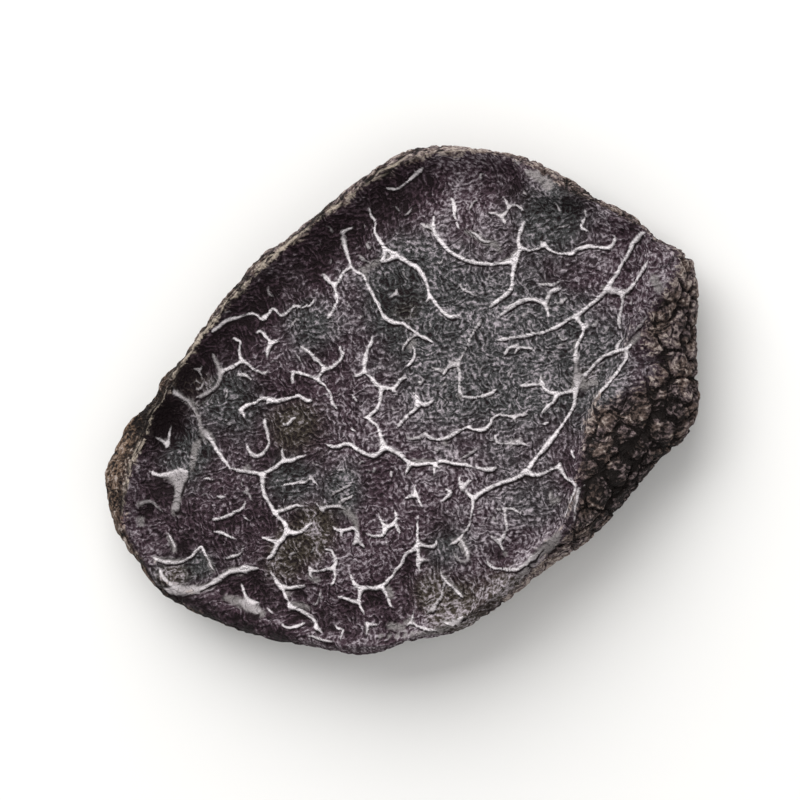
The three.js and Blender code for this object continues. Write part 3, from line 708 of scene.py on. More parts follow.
@dataclass
class SliceForm:
    """Form of the slice: the same sizes and lattice noise as its solid."""

    face_height: float = 5.1 * MM
    face_slope: float = 0.05
    face_curl: float = 0.5 * MM
    underside_rise: float = 1.5 * MM
    underside_inset: float = 1.6 * MM
    flank_level: float = 0.45
    flat_radius: float = 5.5 * MM
    flat_depth: float = 0.1 * MM
    bowl_power: float = 1.4
    lip_width: float = 0.65 * MM
    lip_height: float = 0.65 * MM
    trough_width: float = 1.8 * MM
    trough_depth: float = 0.9 * MM
    trough_bearing: float = math.radians(125)
    trough_least: float = 0.35
    wart_size: float = 1.9 * MM
    wart_height: float = 0.42 * MM
    wart_crease: float = 0.15
    wart_warp_size: float = 1.1 * MM
    wart_warp: float = 0.32 * MM
    wart_dome: float = 0.25
    wart_level: float = 0.75
    wart_bearing: float = math.radians(-5)
    wart_least: float = 0.4
    wart_edge: float = 0.35
    swell_size: float = 7.5 * MM
    swell_height: float = 0.42 * MM
    swell_middle: float = 0.4
    wrinkle_size: float = 2.6 * MM
    wrinkle_height: float = 0.2 * MM
    ragged_size: float = 1.7 * MM
    ragged_depth: float = 0.16 * MM
    face_share: float = 0.45
    underside_share: float = -0.6
    drawing: Drawing = field(default_factory=Drawing)
    swells: tuple[Swell, ...] = (
        Swell(95, 182, 1.8 * MM, -0.8 * MM),
        Swell(240, 53, 1.7 * MM, -0.4 * MM),
        Swell(259, 53, 1.9 * MM, -0.5 * MM),
        Swell(279, 59, 1.8 * MM, -0.4 * MM),
        Swell(120, 176, 1.5 * MM, 0.35 * MM),
        Swell(190, 263, 1.6 * MM, 0.4 * MM),
        Swell(216, 243, 1.5 * MM, 0.35 * MM),
        Swell(239, 274, 1.5 * MM, 0.4 * MM),
        Swell(206, 281, 1.3 * MM, 0.3 * MM),
        Swell(222, 261, 1.3 * MM, -0.35 * MM),
        Swell(176, 240, 1.6 * MM, -0.35 * MM),
        Swell(250, 252, 1.6 * MM, 0.3 * MM),
        Swell(300, 205, 2.2 * MM, 0.3 * MM),
    )

    def __post_init__(self) -> None:
        """Turns the drawn outlines into reach by bearing."""
        self.flank_line = self._polar(self.drawing.plan(Drawing.read(FLANK_OUTLINE), self.drawing.level))
        bearing, reach = self._polar(self.on_face(Drawing.read(FACE_OUTLINE)))
        edge = self._flat(bearing, reach)
        ragged = soft_noise(edge, self.ragged_size, Salt.RAGGED)
        ragged += 0.5 * soft_noise(edge, 0.4 * self.ragged_size, Salt.FINE_RAGGED)
        self.face_line = bearing, reach + self.ragged_depth * ragged

    def on_face(self, drawn: np.ndarray) -> np.ndarray:
        """Gives the plan places of drawn points that lie on the sloping cut face.

        Args:
            drawn: grid coordinates, one row each.

        Returns:
            X and Y of each point.
        """
        places = self.drawing.plan(drawn, self.face_height)
        for _ in range(3):
            places = self.drawing.plan(drawn, self.face_height + self.face_slope * places[:, 0])
        return places

    def on_relief(self, drawn: np.ndarray) -> np.ndarray:
        """Gives the plan places of drawn points that lie on the cut face with its hollows and lip.

        Args:
            drawn: grid coordinates, one row each.

        Returns:
            X and Y of each point.
        """
        places = self.on_face(drawn)
        for _ in range(4):
            reach = self.reach(self.face_line, np.arctan2(places[:, 1], places[:, 0]))
            share = np.minimum(1, np.hypot(places[:, 0], places[:, 1]) / reach)
            flat = np.hstack([places, np.zeros((len(places), 1))])
            places = self.drawing.plan(drawn, self.face_relief(flat, share)[0])
        return places

    @staticmethod
    def _polar(points: np.ndarray) -> tuple[np.ndarray, np.ndarray]:
        """Gives a closed outline as sorted bearings and the reach at each."""
        curve = smooth_path(points, closed=True, cuts=20)
        bearing = np.arctan2(curve[:, 1], curve[:, 0])
        order = np.argsort(bearing)
        return bearing[order], np.hypot(curve[:, 0], curve[:, 1])[order]

    @staticmethod
    def reach(line: tuple[np.ndarray, np.ndarray], bearing: np.ndarray) -> np.ndarray:
        """Gives how far an outline lies from the middle at each bearing."""
        return np.interp(bearing, line[0], line[1], period=2 * math.pi)

    @staticmethod
    def _flat(bearing: np.ndarray, reach: np.ndarray) -> np.ndarray:
        """Gives points in plan, at height 0, from bearings and reaches."""
        return np.stack([reach * np.cos(bearing), reach * np.sin(bearing), 0 * reach], axis=1)

    def blend_spots(self, plan: np.ndarray, spots: tuple[Spot, ...]) -> np.ndarray:
        """Adds up soft spots at places.

        Args:
            plan: X and Y of each place, one row each.
            spots: the spots.

        Returns:
            One number for each place.
        """
        total = np.zeros(len(plan))
        for spot in spots:
            middle = self.on_relief(np.array([[spot.x, spot.y]]))[0]
            gap = np.hypot(plan[:, 0] - middle[0], plan[:, 1] - middle[1])
            total += spot.amount * hump(gap, spot.radius)
        return total

    def face_relief(self, plan: np.ndarray, share: np.ndarray) -> tuple[np.ndarray, np.ndarray]:
        """Gives the height of the cut face.

        Args:
            plan: points in plan, at height 0, one row each.
            share: how far out each lies, 0 in the middle and 1 at the edge.

        Returns:
            The height of each point, and how far it stands over the plain sloping face.
        """
        bearing = np.arctan2(plan[:, 1], plan[:, 0])
        inside = (1 - share) * self.reach(self.face_line, bearing)
        lip = self.lip_height * hump(inside, self.lip_width)
        side = at_least(facing(bearing, self.trough_bearing), self.trough_least)
        relief = lip - self.trough_depth * side * hump(inside - self.trough_width, self.trough_width)
        roll = self.swell_height * soft_noise(plan, self.swell_size, Salt.SWELL)
        relief += roll * at_least(share, self.swell_middle)
        relief += self.wrinkle_height * soft_noise(plan, self.wrinkle_size, Salt.WRINKLE)
        for swell in self.swells:
            middle = self.on_face(np.array([[swell.x, swell.y]]))[0]
            gap = np.hypot(plan[:, 0] - middle[0], plan[:, 1] - middle[1])
            relief += swell.height * hump(gap, swell.radius)
        plain = self.face_height + self.face_slope * plan[:, 0] + self.face_curl * share**2
        return plain + relief, relief

    def face_points(self, bearing: np.ndarray, share: np.ndarray) -> tuple[np.ndarray, np.ndarray]:
        """Gives points of the cut face and their relief."""
        places = self._flat(bearing, self.reach(self.face_line, bearing) * share)
        height, relief = self.face_relief(places, share)
        places[:, 2] = height
        return places, relief

    def underside_points(self, bearing: np.ndarray, share: np.ndarray) -> np.ndarray:
        """Gives points of the underside, a shallow bowl with a flat resting spot."""
        rim = self.reach(self.flank_line, bearing) - self.underside_inset
        places = self._flat(bearing, rim * share)
        flat = self.flat_radius / rim
        bend = np.maximum(0, (share - flat) / (1 - flat))
        rough = self.wrinkle_height * soft_noise(places, self.wrinkle_size, Salt.UNDER_WRINKLE)
        rough += self.swell_height * soft_noise(places, self.swell_size, Salt.UNDER_SWELL)
        height = self.underside_rise * bend**self.bowl_power + rough * np.minimum(1, 3 * bend)
        places[:, 2] = height - self.flat_depth * (1 - np.minimum(1, 2 * bend))
        return places

    def flank_points(self, bearing: np.ndarray, fall: np.ndarray) -> tuple[np.ndarray, ...]:
        """Lays points out on the flank.

        Args:
            bearing: direction of each point from the middle.
            fall: share of the way down from the lip to the underside.

        Returns:
            The points without warts, the direction out of the flank, and the way down from the lip.
        """
        top, _ = self.face_points(bearing, np.ones_like(bearing))
        foot = self.underside_points(bearing, np.ones_like(bearing))
        level = foot[:, 2] + self.flank_level * (top[:, 2] - foot[:, 2])
        upper = fall < 0.5
        end = np.where(upper[:, None], top, foot)
        turn = np.where(upper, fall, 1 - fall) * math.pi
        end_reach = np.hypot(end[:, 0], end[:, 1])
        widest = self.reach(self.flank_line, bearing)
        places = self._flat(bearing, end_reach + (widest - end_reach) * np.sin(turn))
        places[:, 2] = level + (end[:, 2] - level) * np.cos(turn)
        outward = self._flat(bearing, np.sin(turn))
        outward[:, 2] = np.cos(turn) * np.where(upper, 1, -1)
        beyond = np.hypot(places[:, 0], places[:, 1]) - np.hypot(top[:, 0], top[:, 1])
        return places, outward, np.hypot(beyond, top[:, 2] - places[:, 2])

    def lay_out(self, ball: np.ndarray) -> Surface:
        """Lays points of the unit ball out on the slice.

        Args:
            ball: points of the unit ball, one row each.

        Returns:
            The points on the slice and what is known about each.
        """
        bearing = np.arctan2(ball[:, 1], ball[:, 0])
        z = ball[:, 2]
        on_face = z > self.face_share
        on_underside = z < self.underside_share
        on_flank = ~(on_face | on_underside)
        share = np.ones(len(z))
        share[on_face] = np.sqrt((1 - z[on_face]) / (1 - self.face_share))
        share[on_underside] = np.sqrt((1 + z[on_underside]) / (1 + self.underside_share))
        fall = np.clip((self.face_share - z) / (self.face_share - self.underside_share), 0, 1)
        places = np.zeros((len(z), 3))
        outward = np.zeros((len(z), 3))
        outward[:, 2] = np.where(on_face, 1.0, -1.0)
        hollow = np.zeros(len(z))
        wart = np.ones(len(z))
        ring = np.zeros(len(z))
        inside = np.zeros(len(z))
        places[on_face], hollow[on_face] = self.face_points(bearing[on_face], share[on_face])
        places[on_underside] = self.underside_points(bearing[on_underside], share[on_underside])
        inside[on_face] = (1 - share[on_face]) * self.reach(self.face_line, bearing[on_face])
        rim = self.reach(self.flank_line, bearing[on_underside]) - self.underside_inset
        inside[on_underside] = (1 - share[on_underside]) * rim
        flank, out, way = self.flank_points(bearing[on_flank], fall[on_flank])
        bent = warped(flank, self.wart_warp_size, self.wart_warp, Salt.WARP)
        nearest, second = packed_domes(bent, self.wart_size, Salt.WART)
        shoulder = smoothstep(second - nearest, 0, self.wart_crease)
        wart[on_flank] = shoulder * (1 - self.wart_dome * nearest**2)
        ring[on_flank] = nearest * self.wart_size
        outward[on_flank] = out / np.linalg.norm(out, axis=1, keepdims=True)
        fade = at_least(facing(bearing[on_flank], self.wart_bearing), self.wart_least)
        fade = fade * at_least(np.sin(math.pi * fall[on_flank]), self.wart_edge)
        rise = self.wart_height * fade * (wart[on_flank] - self.wart_level)
        places[on_flank] = flank + outward[on_flank] * rise[:, None]
        inside[on_flank] = -way
        return Surface(places, outward, on_face, on_underside, inside, hollow, wart, ring, bearing, fall)


class VeinKind(Enum):
    """How wide and how pale a vein of the flesh is: half its width, and its paleness to 1."""

    WEB = (0.28 * MM, 0.3)
    BAND = (0.16 * MM, 0.8)
    TRUNK = (0.1 * MM, 1.0)
    BRANCH = (0.084 * MM, 0.9)
    TWIG = (0.074 * MM, 0.8)
    DULL = (0.13 * MM, 0.3)
    TRACE = (0.065 * MM, 0.45)
    STRAY = (0.055 * MM, 0.4)


@dataclass
class VeinNetwork:
    """The pale veins of a cut face, as rows of points along their paths."""

    form: SliceForm
    pitch: float = 0.07 * MM
    spread: float = 1.4
    wobble: float = 0.04 * MM
    wobble_size: float = 0.9 * MM
    quiver: float = 0.045 * MM
    quiver_size: float = 0.32 * MM
    width_change: float = 0.45
    pale_change: float = 0.28
    free_end: float = 0.3
    join_swell: float = 0.6
    taper: float = 0.45 * MM
    flare: float = 0.4 * MM
    join_gap: float = 2.5
    least_spread: float = 0.09 * MM
    web_reach: float = 0.36 * MM
    web_skip: int = 4
    groove_and_shadow_shift: float = 1.35
    groove_and_shadow_lean: float = 0.3
    groove_and_shadow_width: float = 0.7
    veil_edge: float = 0.2 * MM
    strays: int = 160
    stray_step: float = 0.14 * MM
    stray_steps: tuple[int, int] = (3, 9)
    stray_curl: float = 0.5
    stray_share: float = 0.96
    stray_gap: float = 0.38 * MM
    seed: int = 11

    def __post_init__(self) -> None:
        """Samples the drawn veins and grows the stray ones."""
        drawn = ((VeinKind.WEB, WEBS), (VeinKind.BAND, BANDS), (VeinKind.TRUNK, TRUNKS),
                 (VeinKind.BRANCH, BRANCHES), (VeinKind.TWIG, TWIGS), (VeinKind.DULL, DULLS),
                 (VeinKind.TRACE, TRACES))
        paths = [(kind, Drawing.read(line)) for kind, text in drawn for line in Drawing.lines(text)]
        rows = []
        for index, (kind, path) in enumerate(paths):
            others = np.vstack([other for place, (_, other) in enumerate(paths) if place != index])
            gaps = [np.linalg.norm(others - end, axis=1).min() for end in (path[0], path[-1])]
            joined = [gap < self.join_gap for gap in gaps]
            rows.append(self._sample(self.form.on_relief(path), kind, joined))
        self.drawn_count = sum(len(row) for row in rows)
        self.samples = np.vstack(rows)
        self.veil_samples = np.vstack([self._sample_veil(text) for text in Drawing.lines(VEILS)])
        self.samples = np.vstack([self.samples, *self._grow_strays()])

    def _sample(self, path: np.ndarray, kind: VeinKind, joined: list[bool]) -> np.ndarray:
        """Spaces points evenly along a path and gives each a half-width.

        Args:
            path: X and Y of the path's points, one row each.
            kind: how wide and pale the vein is.
            joined: whether its first and its last point meet another vein. A joined end widens and
                a free end tapers.

        Returns:
            X, Y, spread, paleness and share of each sample.
        """
        half_width, paleness = kind.value
        curve = smooth_path(path, closed=False, cuts=12)
        run = np.concatenate([[0], np.cumsum(np.linalg.norm(np.diff(curve, axis=0), axis=1))])
        count = max(3, int(run[-1] / self.pitch))
        at = np.linspace(0, run[-1], count)
        x = np.interp(at, run, curve[:, 0])
        y = np.interp(at, run, curve[:, 1])
        flat = np.stack([x, y, 0 * x], axis=1)
        x = x + self.wobble * soft_noise(flat, self.wobble_size, Salt.WOBBLE_X)
        y = y + self.wobble * soft_noise(flat, self.wobble_size, Salt.WOBBLE_Y)
        x = x + self.quiver * soft_noise(flat, self.quiver_size, Salt.QUIVER_X)
        y = y + self.quiver * soft_noise(flat, self.quiver_size, Salt.QUIVER_Y)
        change = soft_noise(flat, self.wobble_size, Salt.WIDTH)
        width = half_width * (1 + self.width_change * change)
        for gap, is_joined in zip((at, run[-1] - at), joined):
            if is_joined:
                width *= 1 + self.join_swell * hump(gap, self.flare)
            else:
                width *= at_least(np.clip(gap / self.taper, 0, 1), self.free_end)
        change = soft_noise(flat, 2.5 * self.wobble_size, Salt.PALENESS)
        paleness = paleness + self.pale_change * change
        spread = np.maximum(width * self.spread, self.least_spread)
        share = self.pitch / (spread * math.sqrt(math.pi)) * np.minimum(1, width * self.spread / spread)
        return np.stack([x, y, spread, paleness, share], axis=1)

    def _sample_veil(self, text: str) -> np.ndarray:
        """Spaces points along a veil, each with half the veil's width there."""
        drawn = Drawing.read(text)
        places = np.hstack([self.form.on_relief(drawn[:, :2]), drawn[:, 2:] * self.form.drawing.step])
        along = np.linspace(0, len(places) - 1, 4 * len(places))
        return np.stack([np.interp(along, range(len(places)), column) for column in places.T], axis=1)

    def _grow_strays(self) -> list[np.ndarray]:
        """Grows short stray veins between the drawn ones, clear of them."""
        draw = random.Random(self.seed)
        tree = KDTree(len(self.samples))
        for index, (x, y) in enumerate(self.samples[:, :2]):
            tree.insert((x, y, 0), index)
        tree.balance()
        grown = []
        while len(grown) < self.strays:
            bearing = draw.uniform(-math.pi, math.pi)
            reach = float(self.form.reach(self.form.face_line, np.array([bearing]))[0])
            out = reach * self.stray_share * math.sqrt(draw.random())
            point = np.array([out * math.cos(bearing), out * math.sin(bearing)])
            heading = draw.uniform(-math.pi, math.pi)
            curl = draw.uniform(-self.stray_curl, self.stray_curl)
            path = [point]
            for _ in range(draw.randint(*self.stray_steps)):
                heading += curl + draw.uniform(-self.stray_curl, self.stray_curl)
                point = point + self.stray_step * np.array([math.cos(heading), math.sin(heading)])
                path.append(point)
            gaps = [tree.find((p[0], p[1], 0))[2] for p in path]
            if min(gaps) > self.stray_gap:
                grown.append(self._sample(np.array(path), VeinKind.STRAY, [False, False]))
        return grown

    def strength(self, plan: np.ndarray) -> tuple[np.ndarray, ...]:
        """Tells how much of a vein each place has.

        Args:
            plan: X and Y of each place, one row each.

        Returns:
            The amount, 1 on a vein's middle; the paleness, to 1; the closeness to veins, 1 beside
            one and more in the crotch where several meet; the amount of the line just below each
            vein, which is cut as a groove and painted dark as the vein's shadow; and the amount of a
            veil, 1 in its middle.
        """
        tree = KDTree(len(plan))
        for index, (x, y) in enumerate(plan[:, :2]):
            tree.insert((x, y, 0), index)
        tree.balance()
        total, pale, web, groove_and_shadow, veil = np.zeros((5, len(plan)))
        for x, y, spread, paleness, share in self.samples:
            for _, index, gap in tree.find_range((x, y, 0), 2.4 * spread):
                amount = share * math.exp(-((gap / spread) ** 2))
                total[index] += amount
                pale[index] += amount * paleness
            # The line sits just below each vein, towards -Y: a groove in the mesh that is also painted dark
            # as the vein's shadow.
            shift, width = self.groove_and_shadow_shift * spread, self.groove_and_shadow_width * spread
            middle = (x + self.groove_and_shadow_lean * shift, y - shift, 0)
            for _, index, gap in tree.find_range(middle, 1.6 * spread):
                groove_and_shadow[index] += share * math.exp(-((gap / width) ** 2)) / self.groove_and_shadow_width
        part = self.pitch * self.web_skip / (self.web_reach * math.sqrt(math.pi))
        for x, y, *_ in self.samples[:self.drawn_count:self.web_skip]:
            for _, index, gap in tree.find_range((x, y, 0), 2 * self.web_reach):
                web[index] += part * math.exp(-((gap / self.web_reach) ** 2))
        for x, y, reach in self.veil_samples:
            for _, index, gap in tree.find_range((x, y, 0), reach + self.veil_edge):
                veil[index] = max(veil[index], min(1, (reach + self.veil_edge - gap) / (2 * self.veil_edge)))
        return total, pale / np.maximum(total, 1e-6), web, groove_and_shadow, veil


def linear(code: str, alpha: float = 1.0) -> tuple[float, float, float, float]:
    """Turns an sRGB hex colour to linear.

    Args:
        code: colour such as "#8a7b6c".
        alpha: opacity.

    Returns:
        Red, green, blue and alpha.
    """
    values = [int(code[i:i + 2], 16) / 255 for i in (1, 3, 5)]
    red, green, blue = (v / 12.92 if v <= 0.04045 else ((v + 0.055) / 1.055) ** 2.4 for v in values)
    return red, green, blue, alpha


def add_node(tree: bpy.types.NodeTree, kind: str, settings: dict | None = None,
             inputs: dict | None = None) -> bpy.types.Node:
    """Adds a node with its settings and its inputs.

    Args:
        tree: node tree that it goes in.
        kind: the node's type name.
        settings: properties of the node.
        inputs: for each input, by name or number, a value or the socket that it is linked to.

    Returns:
        The node.
    """
    node = tree.nodes.new(kind)
    for name, value in (settings or {}).items():
        setattr(node, name, value)
    for key, value in (inputs or {}).items():
        if isinstance(value, bpy.types.NodeSocket):
            tree.links.new(value, node.inputs[key])
        else:
            node.inputs[key].default_value = value
    return node


@dataclass(frozen=True)
class FleshFinish:
    """Cut and air-dried truffle flesh: dull, wrinkled, near black, with chalky pale veins.

    Widths are those of real swellings. A share says how much a thing counts for in a mix, and a
    range is where a mix begins and ends.
    """

    dark: str = "#110609"
    warm: str = "#3b2b33"
    cool: str = "#373838"
    olive: str = "#373027"
    # The light colour goes on the crests of the wrinkles, partly as a painted highlight.
    light: str = "#b1a7ad"
    vein: str = "#dad3d5"
    faint_vein: str = "#8b8586"
    veil: str = "#7d7877"
    wrinkle_width: float = 0.45 * MM
    ripple_pitch: float = 0.42 * MM
    ripple_bend: float = 4.0
    grain_width: float = 0.26 * MM
    speck_width: float = 0.2 * MM
    wisp_width: float = 0.75 * MM
    bend_width: float = 1.0 * MM
    patch_width: float = 1.9 * MM
    blotch_width: float = 2.4 * MM
    ripple_bearings: tuple[float, float] = (math.radians(100), math.radians(20))
    ripple_share: float = 0.32
    ripple_middle: float = 0.16
    swelling_share: float = 0.55
    roughness_share: float = 0.45
    blotch_share: float = 0.8
    grain_share: float = 0.8
    wisp_share: float = 0.28
    speck_share: float = 0.4
    tone_and_shading_share: float = 0.9
    thin_share: float = 0.8
    swelling_range: tuple[float, float] = (0.37, 0.63)
    patch_range: tuple[float, float] = (0.48, 0.56)
    grain_range: tuple[float, float] = (0.25, 0.75)
    speck_range: tuple[float, float] = (0.3, 0.7)
    wisp_range: tuple[float, float] = (0.04, 0.0)
    mark_range: tuple[float, float] = (-0.4, 0.8)
    cool_range: tuple[float, float] = (0.3, 1.0)
    olive_range: tuple[float, float] = (0.5, 1.2)
    body_range: tuple[float, float] = (0.44, 1.42)
    light_range: tuple[float, float] = (1.16, 2.85)
    web_range: tuple[float, float] = (1.1, 1.8)
    veil_range: tuple[float, float] = (0.3, 1.1)
    vein_shadow_range: tuple[float, float] = (0.2, 0.9)
    vein_range: tuple[float, float] = (0.3, 1.0)
    pale_range: tuple[float, float] = (0.1, 1.1)


@dataclass(frozen=True)
class SkinFinish:
    """Dried truffle skin: hard brown-black warts, their tops pale with dust and painted highlight, their
    creases black with painted shade.

    Widths, shares and ranges are as in the flesh.
    """

    crease_shade: str = "#120c0a"
    brown: str = "#5a4b45"
    grey: str = "#665859"
    tan: str = "#6f5a4a"
    shade: str = "#2b201b"
    dust_and_highlight: str = "#988c85"
    # The rim colour is a painted highlight along the lip's crest.
    rim: str = "#a3978a"
    rust: str = "#6b4840"
    ring_width: float = 0.34 * MM
    patch_width: float = 1.4 * MM
    streak_width: float = 0.3 * MM
    ring_waver: float = 5.0
    ring_share: float = -0.35
    wrinkle_share: float = 0.7
    speck_share: float = 0.2
    tone_and_shading_share: float = 0.8
    grain_share: float = 0.6
    ring_range: tuple[float, float] = (0.1, -0.9)
    ringed_range: tuple[float, float] = (0.35, 0.6)
    grey_range: tuple[float, float] = (0.42, 0.58)
    tan_range: tuple[float, float] = (0.1, 1.5)
    body_range: tuple[float, float] = (0.1, 0.9)
    dust_and_highlight_range: tuple[float, float] = (1.0, 1.6)
    streak_range: tuple[float, float] = (0.35, 0.65)
    rust_range: tuple[float, float] = (0.1, 0.6)
    rim_highlight_range: tuple[float, float] = (0.1, 0.9)


@dataclass
class TruffleMaterial:
    """One material for the whole slice, mixed from the finishes of flesh and skin."""

    flesh: FleshFinish = FleshFinish()
    skin: SkinFinish = SkinFinish()
    roughness: float = 0.72
    ior: float = 1.45
    sheen: float = 0.18
    bump_depth: float = 0.13 * MM
    bump_grain: float = 0.35
    edge_waver: float = 0.5
    edge_range: tuple[float, float] = (0.3, 0.7)
    noise_roughness: float = 0.6

    def build(self) -> bpy.types.Material:
        """Builds the material.

        Returns:
            The material of the slice.
        """
        material = bpy.data.materials.new("dried_black_truffle")
        material.use_nodes = True
        tree = material.node_tree
        tree.nodes.clear()
        place = add_node(tree, "ShaderNodeTexCoord").outputs["Object"]
        grain = self._noise(tree, place, self.flesh.grain_width, detail=2.0)
        wrinkle = self._wrinkles(tree, place, grain)
        speck = self._noise(tree, place, self.flesh.speck_width, detail=1.0)
        speck = self._ramp(tree, speck, *self.flesh.speck_range)
        speck = self._math(tree, "SUBTRACT", speck, 0.5)
        flesh = self._flesh_colour(tree, place, wrinkle, grain, speck)
        skin = self._skin_colour(tree, place, wrinkle, grain, speck)
        worn = self._attribute(tree, "skin")
        edge = self._math(tree, "SUBTRACT", wrinkle, 0.5)
        edge = self._math(tree, "MULTIPLY_ADD", edge, self.edge_waver, worn)
        colour = self._mix(tree, self._ramp(tree, edge, *self.edge_range), flesh, skin)
        height = self._math(tree, "MULTIPLY_ADD", grain, self.bump_grain, wrinkle)
        bump = add_node(tree, "ShaderNodeBump", inputs={
            "Strength": 1.0, "Distance": self.bump_depth, "Height": height})
        shader = add_node(tree, "ShaderNodeBsdfPrincipled", inputs={
            "Base Color": colour, "Roughness": self.roughness, "IOR": self.ior,
            "Specular IOR Level": self.sheen, "Normal": bump.outputs["Normal"]})
        add_node(tree, "ShaderNodeOutputMaterial", inputs={"Surface": shader.outputs["BSDF"]})
        return material

    @staticmethod
    def _attribute(tree: bpy.types.NodeTree, name: str) -> bpy.types.NodeSocket:
        """Reads a number stored on the mesh."""
        return add_node(tree, "ShaderNodeAttribute", {"attribute_name": name}).outputs["Fac"]

    @staticmethod
    def _math(tree: bpy.types.NodeTree, operation: str, *values: object) -> bpy.types.NodeSocket:
        """Works a sum on sockets and numbers."""
        node = add_node(tree, "ShaderNodeMath", {"operation": operation}, dict(enumerate(values)))
        return node.outputs[0]

    def _noise(self, tree: bpy.types.NodeTree, place: bpy.types.NodeSocket, width: float,
               detail: float, distortion: float = 0.4) -> bpy.types.NodeSocket:
        """Adds noise whose swellings have a real width."""
        node = add_node(tree, "ShaderNodeTexNoise", inputs={
            "Vector": place, "Scale": 1.0 / width, "Detail": detail,
            "Roughness": self.noise_roughness, "Distortion": distortion})
        return node.outputs["Fac"]

    @staticmethod
    def _ramp(tree: bpy.types.NodeTree, value: bpy.types.NodeSocket, low: float,
              high: float) -> bpy.types.NodeSocket:
        """Eases a value from 0 at low to 1 at high."""
        node = add_node(tree, "ShaderNodeMapRange", {"interpolation_type": "SMOOTHSTEP"}, {
            "Value": value, "From Min": low, "From Max": high})
        return node.outputs["Result"]

    @staticmethod
    def _mix(tree: bpy.types.NodeTree, share: object, first: object,
             second: object) -> bpy.types.NodeSocket:
        """Mixes two colours, whose sockets are the sixth and the seventh of the node."""
        node = add_node(tree, "ShaderNodeMix", {"data_type": "RGBA"}, {0: share, 6: first, 7: second})
        return node.outputs[2]

    def _ripple(self, tree: bpy.types.NodeTree, place: bpy.types.NodeSocket,
                bend: bpy.types.NodeSocket, bearing: float) -> bpy.types.NodeSocket:
        """Draws bent parallel ripples, -1 in a furrow and 1 on a crest."""
        pitch = self.flesh.ripple_pitch
        across = (math.cos(bearing) / pitch, math.sin(bearing) / pitch, 0.0)
        turn = add_node(tree, "ShaderNodeVectorMath", {"operation": "DOT_PRODUCT"}, {
            0: place, 1: across}).outputs["Value"]
        turn = self._math(tree, "MULTIPLY_ADD", bend, self.flesh.ripple_bend, turn)
        return self._math(tree, "SINE", self._math(tree, "MULTIPLY", turn, 2 * math.pi))

    def _wrinkles(self, tree: bpy.types.NodeTree, place: bpy.types.NodeSocket,
                  grain: bpy.types.NodeSocket) -> bpy.types.NodeSocket:
        """Draws soft swellings with patches of bent ripples, from about 0 to 1."""
        finish = self.flesh
        swelling = self._noise(tree, place, finish.wrinkle_width, detail=3.0)
        swelling = self._ramp(tree, swelling, *finish.swelling_range)
        bend = self._noise(tree, place, finish.bend_width, detail=2.0)
        patch = self._noise(tree, place, finish.patch_width, detail=1.0)
        first, second = (self._ripple(tree, place, bend, turn) for turn in finish.ripple_bearings)
        low, high = finish.patch_range
        ripple = self._math(tree, "MULTIPLY", first, self._ramp(tree, patch, high, low))
        ripple = self._math(tree, "MULTIPLY_ADD", second, self._ramp(tree, patch, low, high), ripple)
        height = self._math(tree, "MULTIPLY_ADD", ripple, finish.ripple_share, finish.ripple_middle)
        height = self._math(tree, "MULTIPLY_ADD", swelling, finish.swelling_share, height)
        rough = self._math(tree, "SUBTRACT", self._ramp(tree, grain, *finish.grain_range), 0.5)
        return self._math(tree, "MULTIPLY_ADD", rough, finish.roughness_share, height)

    def _wisps(self, tree: bpy.types.NodeTree, place: bpy.types.NodeSocket) -> bpy.types.NodeSocket:
        """Draws thin pale wisps, 1 along the middle of each."""
        level = self._noise(tree, place, self.flesh.wisp_width, detail=2.0, distortion=0.8)
        gap = self._math(tree, "ABSOLUTE", self._math(tree, "SUBTRACT", level, 0.5))
        return self._ramp(tree, gap, *self.flesh.wisp_range)

    def _flesh_colour(self, tree: bpy.types.NodeTree, place: bpy.types.NodeSocket,
                      wrinkle: bpy.types.NodeSocket, grain: bpy.types.NodeSocket,
                      speck: bpy.types.NodeSocket) -> bpy.types.NodeSocket:
        """Colours the cut flesh: dark, lighter on crests partly as a painted highlight, warm in patches,
        veins pale; furrows, hollows, the trough and a line below each vein carry painted shade.
        """
        finish = self.flesh
        blotch = self._noise(tree, place, finish.blotch_width, detail=2.0)
        body = linear(finish.warm)
        for cast, span, shade in (("cool", finish.cool_range, finish.cool),
                                  ("olive", finish.olive_range, finish.olive)):
            amount = self._math(tree, "MULTIPLY_ADD", blotch, finish.blotch_share,
                                self._attribute(tree, cast))
            body = self._mix(tree, self._ramp(tree, amount, *span), body, linear(shade))
        # The tone carries painted shade and light as well as the flesh's own lighter and darker parts.
        tone_and_shading = self._math(tree, "ADD", blotch, self._attribute(tree, "tone_and_shading"))
        height = self._math(tree, "MULTIPLY_ADD", grain, finish.grain_share, wrinkle)
        marks = self._math(tree, "MULTIPLY", self._wisps(tree, place), finish.wisp_share)
        marks = self._math(tree, "MULTIPLY_ADD", speck, finish.speck_share, marks)
        marked = self._ramp(tree, tone_and_shading, *finish.mark_range)
        height = self._math(tree, "MULTIPLY_ADD", marked, marks, height)
